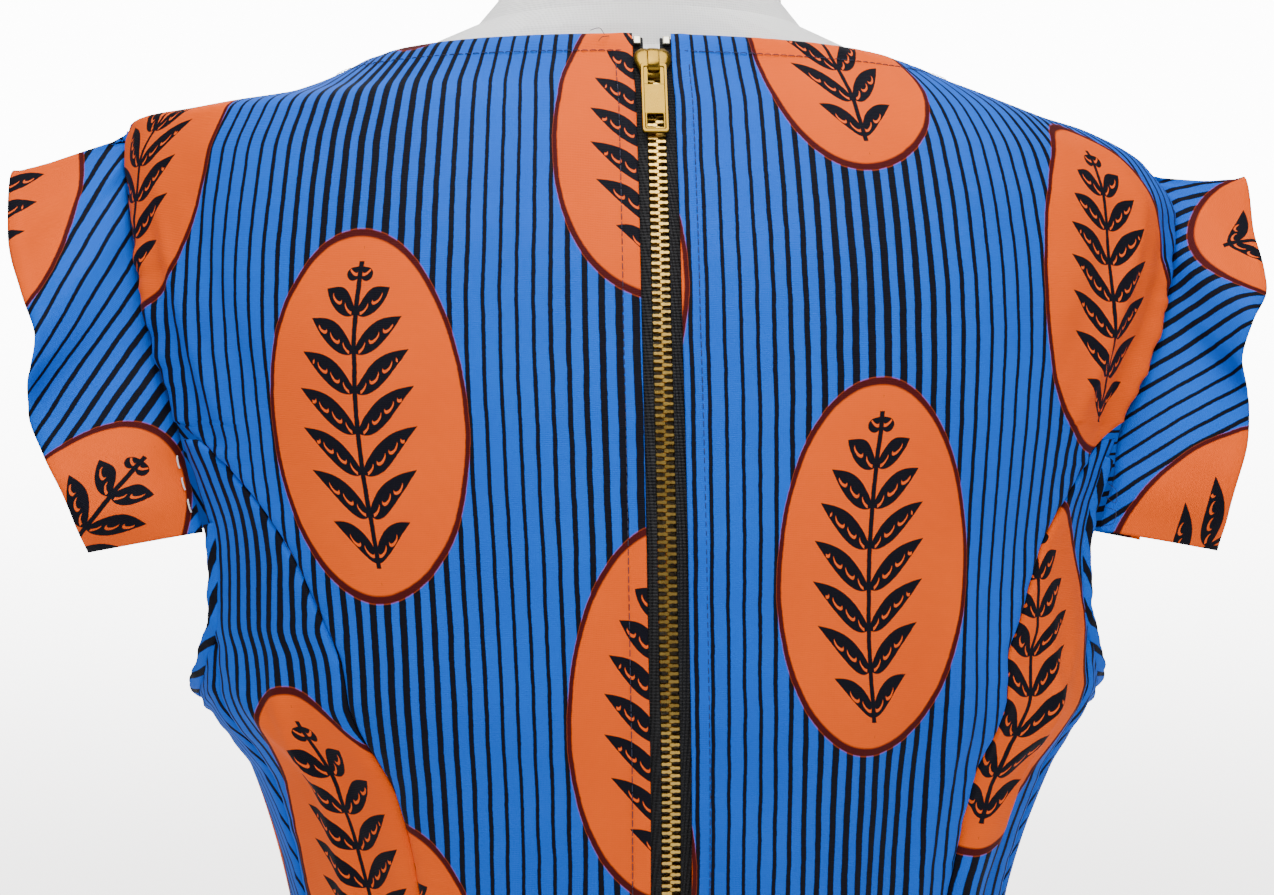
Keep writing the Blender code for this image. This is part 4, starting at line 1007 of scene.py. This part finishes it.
def tape(side):
    z = np.concatenate([np.arange(ZIP_END_Z, NECK_Z - 0.0006, 0.004), [NECK_Z - 0.0006]])
    offsets = np.array([0.0032, 0.0038, 0.0046, 0.0056, 0.0066, 0.0085, 0.0105, 0.0125])
    lift = np.array([-0.0010, -0.0013, -0.0016, -0.0016, -0.0016, -0.0016, -0.0016, -0.0016])
    zz = np.broadcast_to(z[:, None], (len(z), len(offsets)))
    angle = angle_for_offset(side, zz, offsets[None])
    points = plain(side, angle, zz) + normal(side, angle, zz) * lift[None, :, None]
    name = "zip_tape_" + side_name(side)
    made = grid_object(name + "_weave", points, tape_look, outward=np.array([0.0, 1.0, 0.0]))
    give_wall(made, TAPE_WALL)
    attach(made, "dress_on_form")
    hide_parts(name)


def joined(count, low, high):
    """Faces between two rings of the same count, given the numbers of their first points."""
    faces = []
    for i in range(count):
        j = (i + 1) % count
        faces.append((low + i, low + j, high + j, high + i))
    return faces


def merged(name, parts, look):
    """Several (points, faces) pairs as one mesh."""
    verts, faces, start = [], [], 0
    for points, shape in parts:
        verts.extend([tuple(v) for v in points])
        faces.extend([tuple(i + start for i in face) for face in shape])
        start += len(points)
    mesh = bpy.data.meshes.new(name)
    mesh.from_pydata(verts, [], faces)
    mesh.materials.append(look)
    mesh.shade_smooth()
    mesh.set_sharp_from_angle(angle=math.radians(38))
    made = bpy.data.objects.new(name, mesh)
    bpy.context.scene.collection.objects.link(made)
    return made


def prism(outline, low, high, chamfer=0.0):
    """A flat outline as a solid between two heights, with its upper edge drawn in by the chamfer."""
    outline = np.asarray(outline, float)
    middle = outline.mean(axis=0)
    shrunk = outline + (middle - outline) / np.linalg.norm(outline - middle, axis=1)[:, None] * chamfer
    n = len(outline)
    levels = [(outline, low), (outline, high - chamfer), (shrunk, high)]
    points = [(x, y, z) for ring, z in levels for x, y in ring]
    faces = [tuple(range(n))[::-1], tuple(2 * n + i for i in range(n))]
    for r in range(2):
        faces += joined(n, r * n, r * n + n)
    return np.array(points), faces


TOOTH_PITCH = 0.00253
TOOTH_HALF = [(-0.0004, -0.00050), (0.0006, -0.00074), (0.0012, -0.00058), (0.0028, -0.00056), (0.0031, -0.0004)]
CHAIN_TOP_Z = 1.3660
SLIDER_Z = 1.3685
SLIDER_LENGTH = 0.0120
SLIDER_WIDTH = 0.0126
PULL_LENGTH = 0.0262
PULL_WIDTH = 0.0089
PULL_THICK = 0.0013
PULL_BAR = 0.00075
PULL_LEAN = 4.0
EYE_LENGTH = 0.0075
PULL_WINDOW = 0.0054
WINDOW_MARGIN = 0.0018
HINGE = (-0.001006, 0.064311, 1.367545)


def teeth():
    """The closed chain: two rows of clamped teeth whose heads meet in the middle, half a pitch apart."""
    arc = np.interp([ZIP_END_Z, CHAIN_TOP_Z], profile_z, profile_length)
    parts = []
    for side in (1, -1):
        places = np.arange(arc[0], arc[1], TOOTH_PITCH) + (0.0 if side > 0 else TOOTH_PITCH / 2)
        heights = np.interp(places, profile_length, profile_z)
        points, ups, outs = centre_frames(heights)
        outline = TOOTH_HALF + [(x, -y) for x, y in reversed(TOOTH_HALF)]
        solid, shape = prism([(x * side, y) for x, y in outline][::side], -0.0013, 0.0013, 0.00022)
        for point, up, out in zip(points, ups, outs):
            across = np.array([1.0, 0.0, 0.0])
            centre = point - out * 0.0018
            moved = centre + solid[:, :1] * across + solid[:, 1:2] * up + solid[:, 2:] * out
            parts.append((moved, shape))
    made = merged("zip_teeth", parts, tooth_look)
    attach(made, "dress_on_form")
    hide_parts("zip_chain")


def slider_frame():
    """Axes at the slider: x to the wearer's right, y up along the zip, z out of the cloth."""
    point, up, out = (v[0] for v in centre_frames(np.array([SLIDER_Z])))
    frame = Matrix((np.cross(up, out), up, out)).transposed().to_4x4()
    frame.translation = Vector(point)
    return frame


def placed(points, frame):
    return [tuple(frame @ Vector(p)) for p in points]


def ring_band(outer, inner, low, high, edge):
    """A flat frame between two outlines of equal count, its upper edges rounded off by the edge's width."""
    outer = np.asarray(outer, float)
    inner = np.asarray(inner, float)
    middle = (outer + inner) / 2
    half_width = np.maximum(np.linalg.norm(middle - outer, axis=1), 1e-9)[:, None]
    out_in = outer + (middle - outer) * edge / half_width
    in_out = inner + (middle - inner) * edge / half_width
    step = high - edge
    levels = [(inner, low), (outer, low), (outer, step), (out_in, high), (in_out, high), (inner, step)]
    n = len(outer)
    points = [(x, y, z) for ring, z in levels for x, y in ring]
    faces = []
    for r in range(len(levels)):
        faces += joined(n, r * n, (r + 1) % len(levels) * n)
    return points, faces


def rounded(half_x, low, high, radius, count=5):
    """A rectangle's outline with round corners, anticlockwise from its lower right corner."""
    points = []
    right = half_x - radius
    foot = low + radius
    head = high - radius
    for cx, cy, start in ((right, foot, -90), (right, head, 0), (-right, head, 90), (-right, foot, 180)):
        for k in range(count):
            turn = math.radians(start + 90.0 * k / (count - 1))
            points.append((cx + radius * math.cos(turn), cy + radius * math.sin(turn)))
    return points


def pull_tab():
    """The pull: a rim that stands proud, an eye, a sunk plate and an open window with a raised edge."""
    frame = slider_frame() @ Matrix.Rotation(math.radians(PULL_LEAN), 4, "X")
    frame.translation = Vector(HINGE)
    half = PULL_WIDTH / 2
    thick = PULL_THICK / 2
    low = -PULL_LENGTH
    sunk = thick - 0.0004
    eye_low = -EYE_LENGTH
    eye_half = 0.00215
    window_low = low + WINDOW_MARGIN
    window_top = window_low + PULL_WINDOW
    window_half = PULL_WINDOW / 2
    wide = half - 0.0009

    def plate(x0, x1, y0, y1):
        return prism([(x0, y0), (x1, y0), (x1, y1), (x0, y1)], -sunk, sunk, 0.0001)

    outer_rim = rounded(half, low, PULL_BAR, 0.0010)
    inner_rim = rounded(half - 0.0011, low + 0.0013, -PULL_BAR, 0.0006)
    parts = [ring_band(outer_rim, inner_rim, -thick, thick, 0.0003)]
    for side in (1, -1):
        x0, x1 = sorted((side * eye_half, side * wide))
        parts.append(plate(x0, x1, eye_low, -PULL_BAR + 0.0003))
        x0, x1 = sorted((side * window_half, side * wide))
        parts.append(plate(x0, x1, window_low, window_top))
    parts.append(plate(-wide, wide, window_top, eye_low))
    parts.append(plate(-wide, wide, low + 0.0010, window_low))
    window_outer = rounded(window_half + 0.0006, window_low - 0.0006, window_top + 0.0006, 0.0006)
    window_inner = rounded(window_half, window_low, window_top, 0.0004)
    parts.append(ring_band(window_outer, window_inner, -sunk - 0.0001, sunk + 0.0002, 0.0002))
    made = merged("pull_tab", [(placed(points, frame), shape) for points, shape in parts], gold_look)
    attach(made, "pull")
    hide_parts("zip_pull")


def slider_body():
    """The slider: two tapered plates, the outer one crowned, a post between them and a domed bridge."""
    frame = slider_frame()
    corners = [(0.64, 1.00), (0.90, 0.78), (1.00, 0.50), (0.98, 0.12), (0.76, -0.42), (0.64, -1.00)]
    right = [(x * SLIDER_WIDTH / 2, y * SLIDER_LENGTH / 2) for x, y in corners]
    outline = [(-x, y) for x, y in right] + right[::-1]
    outer_low = 0.0
    outer_high = 0.0011
    inner_high = -0.0034
    n = len(outline)
    levels = [(1.0, outer_low), (1.0, outer_high - 0.0003), (0.95, outer_high), (0.72, outer_high + 0.0005)]
    points = [(x * k, y * k, z) for k, z in levels for x, y in outline]
    faces = [tuple(range(n)), tuple(3 * n + i for i in range(n))[::-1]]
    for r in range(3):
        faces += [(b, a, d, c) for a, b, c, d in joined(n, r * n, r * n + n)]
    parts = [(points, faces)]
    parts.append(prism(outline[::-1], inner_high - 0.0011, inner_high, 0.0002))
    post = [(-0.0012, 0.0036), (0.0012, 0.0036), (0.0012, 0.0054), (-0.0012, 0.0054)]
    parts.append(prism(post, inner_high - 0.0003, outer_low + 0.0003))
    # The bridge is a domed strip that rises from the top end and comes down at the lower end.
    steps = 15
    path = []
    for k in range(steps):
        turn = math.pi * k / (steps - 1)
        reach = abs(math.cos(turn)) ** 0.55 * (1 if math.cos(turn) > 0 else -1)
        path.append((reach * 0.0043, outer_high + 0.0029 * math.sin(turn) ** 0.6))
    rings = []
    for k, (y, z) in enumerate(path):
        a = path[max(k - 1, 0)]
        b = path[min(k + 1, steps - 1)]
        along = np.array([b[0] - a[0], b[1] - a[1]])
        along = along / np.linalg.norm(along)
        off = np.array([-along[1], along[0]]) * -1.0
        ring = []
        for turn in np.linspace(0, 2 * math.pi, 13)[:-1]:
            across = math.copysign(abs(math.cos(turn)) ** 0.7, math.cos(turn)) * 0.0020
            out = math.copysign(abs(math.sin(turn)) ** 0.8, math.sin(turn)) * 0.00048
            ring.append((across, y + off[0] * out, z + off[1] * out))
        rings.append(ring)
    points = [p for ring in rings for p in ring]
    faces = []
    for r in range(steps - 1):
        faces += joined(12, r * 12, r * 12 + 12)
    faces.append(tuple(range(12))[::-1])
    faces.append(tuple((steps - 1) * 12 + i for i in range(12)))
    parts.append((points, faces))
    made = merged("slider_body", [(placed(points, frame), shape) for points, shape in parts], gold_look)
    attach(made, "dress_on_form")
    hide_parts("zip_slider")


THREAD_SIDES = 5
THREAD_RING = [(math.cos(a), math.sin(a)) for a in np.linspace(0, 2 * math.pi, THREAD_SIDES + 1)[:-1]]


def thread_faces(rings):
    """Faces of a thread through the given number of rings, closed at both ends."""
    faces = []
    for r in range(rings - 1):
        faces += joined(THREAD_SIDES, r * THREAD_SIDES, (r + 1) * THREAD_SIDES)
    faces.append(tuple(range(THREAD_SIDES))[::-1])
    last = THREAD_SIDES * (rings - 1)
    faces.append(tuple(range(last, last + THREAD_SIDES)))
    return faces


def loose_thread(name, points, radius, look):
    """A thread end that hangs loose: a smooth tube through a few points."""
    points = np.asarray(points, float)
    places = np.linspace(0, len(points) - 1, 22)
    path = np.stack([smooth_value(range(len(points)), points[:, k], places) for k in range(3)], -1)
    rings = []
    for k in range(len(path)):
        along = unit(path[min(k + 1, len(path) - 1)] - path[max(k - 1, 0)])
        first = unit(np.cross(along, np.array([0.31, 0.2, 0.9])))
        second = np.cross(along, first)
        rings.extend([path[k] + radius * (c * first + t * second) for c, t in THREAD_RING])
    made = merged(name, [(rings, thread_faces(len(path)))], look)
    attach(made, "dress_on_form")


def stitches(name, path, out, length, gap, radius, look):
    """Short threads laid along a path, their ends going down into the cloth."""
    path = np.asarray(path)
    run = np.concatenate([[0], np.cumsum(np.linalg.norm(np.diff(path, axis=0), axis=1))])
    parts = []
    start = 0.0
    while start + length < run[-1]:
        places = start + length * np.array([0.0, 0.18, 0.5, 0.82, 1.0])
        middle = np.stack([np.interp(places, run, path[:, k]) for k in range(3)], -1)
        away = unit(np.stack([np.interp(places, run, out[:, k]) for k in range(3)], -1))
        middle = middle + away * (radius * np.array([-1.6, 0.5, 0.8, 0.5, -1.6]))[:, None]
        along = unit(middle[-1] - middle[0])
        points = []
        for centre, up in zip(middle, away):
            sideways = unit(np.cross(along, up))
            points.extend([centre + radius * (c * sideways + s * up) for c, s in THREAD_RING])
        parts.append((points, thread_faces(len(middle))))
        start += length + gap
    made = merged(name, parts, look)
    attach(made, "dress_on_form")


def surface_path(side, angle, z, lift):
    out = normal(side, angle, z)
    return plain(side, angle, z) + out * (fold_height(side, angle, z) + lift)[:, None], out


def topstitching():
    for side in (1, -1):
        z = np.arange(ZIP_END_Z, 1.3725, 0.002)
        angle = angle_for_offset(side, z, np.full(len(z), OPENING_HALF + 0.0058))
        path, out = surface_path(side, angle, z, 0.0004)
        stitches("zip_topstitch_" + side_name(side), path, out, 0.0024, 0.0005, STITCH_RADIUS, thread_look)
        start = float(angle_for_offset(side, np.array([1.374]), np.array([0.010]))[0])
        angle = np.linspace(start, 86.0, 160)
        z = np.full(160, 1.3735)
        path, out = surface_path(side, angle, z, 0.0004)
        stitches("neck_topstitch_" + side_name(side), path, out, 0.0024, 0.0005, STITCH_RADIUS, thread_look)


LOOSE_THREADS = {
    "loose_thread_right_a": [
        (-0.1640, 0.040, 1.2270),
        (-0.1668, 0.044, 1.2235),
        (-0.1655, 0.046, 1.2195),
        (-0.1628, 0.044, 1.2215),
    ],
    "loose_thread_right_b": [
        (-0.1632, 0.041, 1.2180),
        (-0.1662, 0.045, 1.2165),
        (-0.1650, 0.046, 1.2125),
        (-0.1615, 0.043, 1.2110),
    ],
    "loose_thread_neck_a": [
        (0.0150, 0.0560, 1.3795),
        (0.0170, 0.0585, 1.3812),
        (0.0200, 0.0590, 1.3802),
    ],
    "loose_thread_neck_b": [
        (0.0135, 0.0560, 1.3790),
        (0.0160, 0.0590, 1.3780),
        (0.0172, 0.0595, 1.3765),
    ],
}


def basting():
    """White basting beside the left sleeve's free edge, and loose dark thread ends."""
    away = unit(np.array([0.20, 1.0, 0.15]))
    path = free_edge[1] + away * 0.0013
    out = np.broadcast_to(away, path.shape)
    stitches("basting_left", path, out, 0.0046, 0.0034, BASTING_RADIUS, white_thread)
    for name, points in LOOSE_THREADS.items():
        loose_thread(name, points, THREAD_RADIUS, thread_look)


for side in (1, -1):
    tape(side)
teeth()
topstitching()
basting()
pull_tab()
slider_body()
for name in ("zip_stop_left", "zip_stop_right"):
    nodes[name].data.materials[0] = bright_look
for name in ("form_pole", "form_base"):
    nodes[name].data.materials[0] = stand_look
nodes["form_cap"].data.materials[0] = wood_look
nodes["form_torso"].data.materials[0] = jersey_look


# Stage, light and camera


def area_light(name, place, target, size, power):
    data = bpy.data.lights.new(name, "AREA")
    data.shape = "RECTANGLE"
    data.size = size[0]
    data.size_y = size[1]
    data.energy = power
    made = bpy.data.objects.new(name, data)
    made.location = place
    made.rotation_euler = (Vector(target) - Vector(place)).to_track_quat("-Z", "Y").to_euler()
    made.visible_camera = False
    bpy.context.scene.collection.objects.link(made)


def stage():
    g = Graph("pale_floor")
    vector = g.place()
    look = g.finish(g.mix(g.noise(vector, 1.5, 3.0), (0.86, 0.86, 0.85), (0.90, 0.90, 0.89)), 0.85)
    g.shader.inputs["Emission Color"].default_value = (1.0, 1.0, 1.0, 1.0)
    g.shader.inputs["Emission Strength"].default_value = 1.1
    bpy.ops.mesh.primitive_circle_add(vertices=96, radius=3.4, fill_type="NGON", location=(0, 0, -0.0006))
    floor = bpy.context.object
    floor.name = "floor"
    floor.data.materials.append(look)
    world = bpy.data.worlds.new("studio")
    bpy.context.scene.world = world
    world.use_nodes = True
    tree = world.node_tree
    background = tree.nodes["Background"]
    # The backdrop the camera sees is painted light: a gradient that is bright at the top and darker towards the
    # bottom, as on a wall lit from above. Other rays see a dim grey in its place.
    place = tree.nodes.new("ShaderNodeTexCoord")
    split = tree.nodes.new("ShaderNodeSeparateXYZ")
    tree.links.new(place.outputs["Generated"], split.inputs[0])
    ramp = tree.nodes.new("ShaderNodeMapRange")
    ramp.interpolation_type = "SMOOTHSTEP"
    ramp.inputs[1].default_value = -0.26
    ramp.inputs[2].default_value = 0.16
    tree.links.new(split.outputs[2], ramp.inputs[0])
    wall = tree.nodes.new("ShaderNodeMix")
    wall.data_type = "RGBA"
    wall.inputs[6].default_value = (3.6, 3.5, 3.45, 1.0)
    wall.inputs[7].default_value = (13.0, 13.0, 13.0, 1.0)
    tree.links.new(ramp.outputs[0], wall.inputs[0])
    seen = tree.nodes.new("ShaderNodeLightPath")
    shown = tree.nodes.new("ShaderNodeMix")
    shown.data_type = "RGBA"
    shown.inputs[6].default_value = (0.26, 0.265, 0.28, 1.0)
    tree.links.new(seen.outputs["Is Camera Ray"], shown.inputs[0])
    tree.links.new(wall.outputs[2], shown.inputs[7])
    tree.links.new(shown.outputs[2], background.inputs["Color"])
    area_light("key", (0.35, 1.15, 2.35), (0, 0.06, 1.30), (1.3, 0.7), 17.0)
    area_light("fill", (-1.6, 1.6, 1.5), (0, 0.0, 1.15), (1.4, 1.4), 10.0)
    area_light("top", (0.0, 0.35, 2.05), (0, 0.02, 1.38), (0.7, 0.5), 9.0)
    area_light("front", (0.0, -2.4, 2.3), (0, 0.0, 0.9), (1.8, 1.8), 34.0)


def camera():
    data = bpy.data.cameras.new("camera")
    data.sensor_width = 36.0
    data.lens = 53.4
    made = bpy.data.objects.new("camera", data)
    made.location = (0.049, 0.698, 1.239)
    made.rotation_euler = (math.radians(90.0), 0.0, math.pi - math.atan2(0.049, 0.698))
    bpy.context.scene.collection.objects.link(made)
    bpy.context.scene.camera = made


stage()
camera()
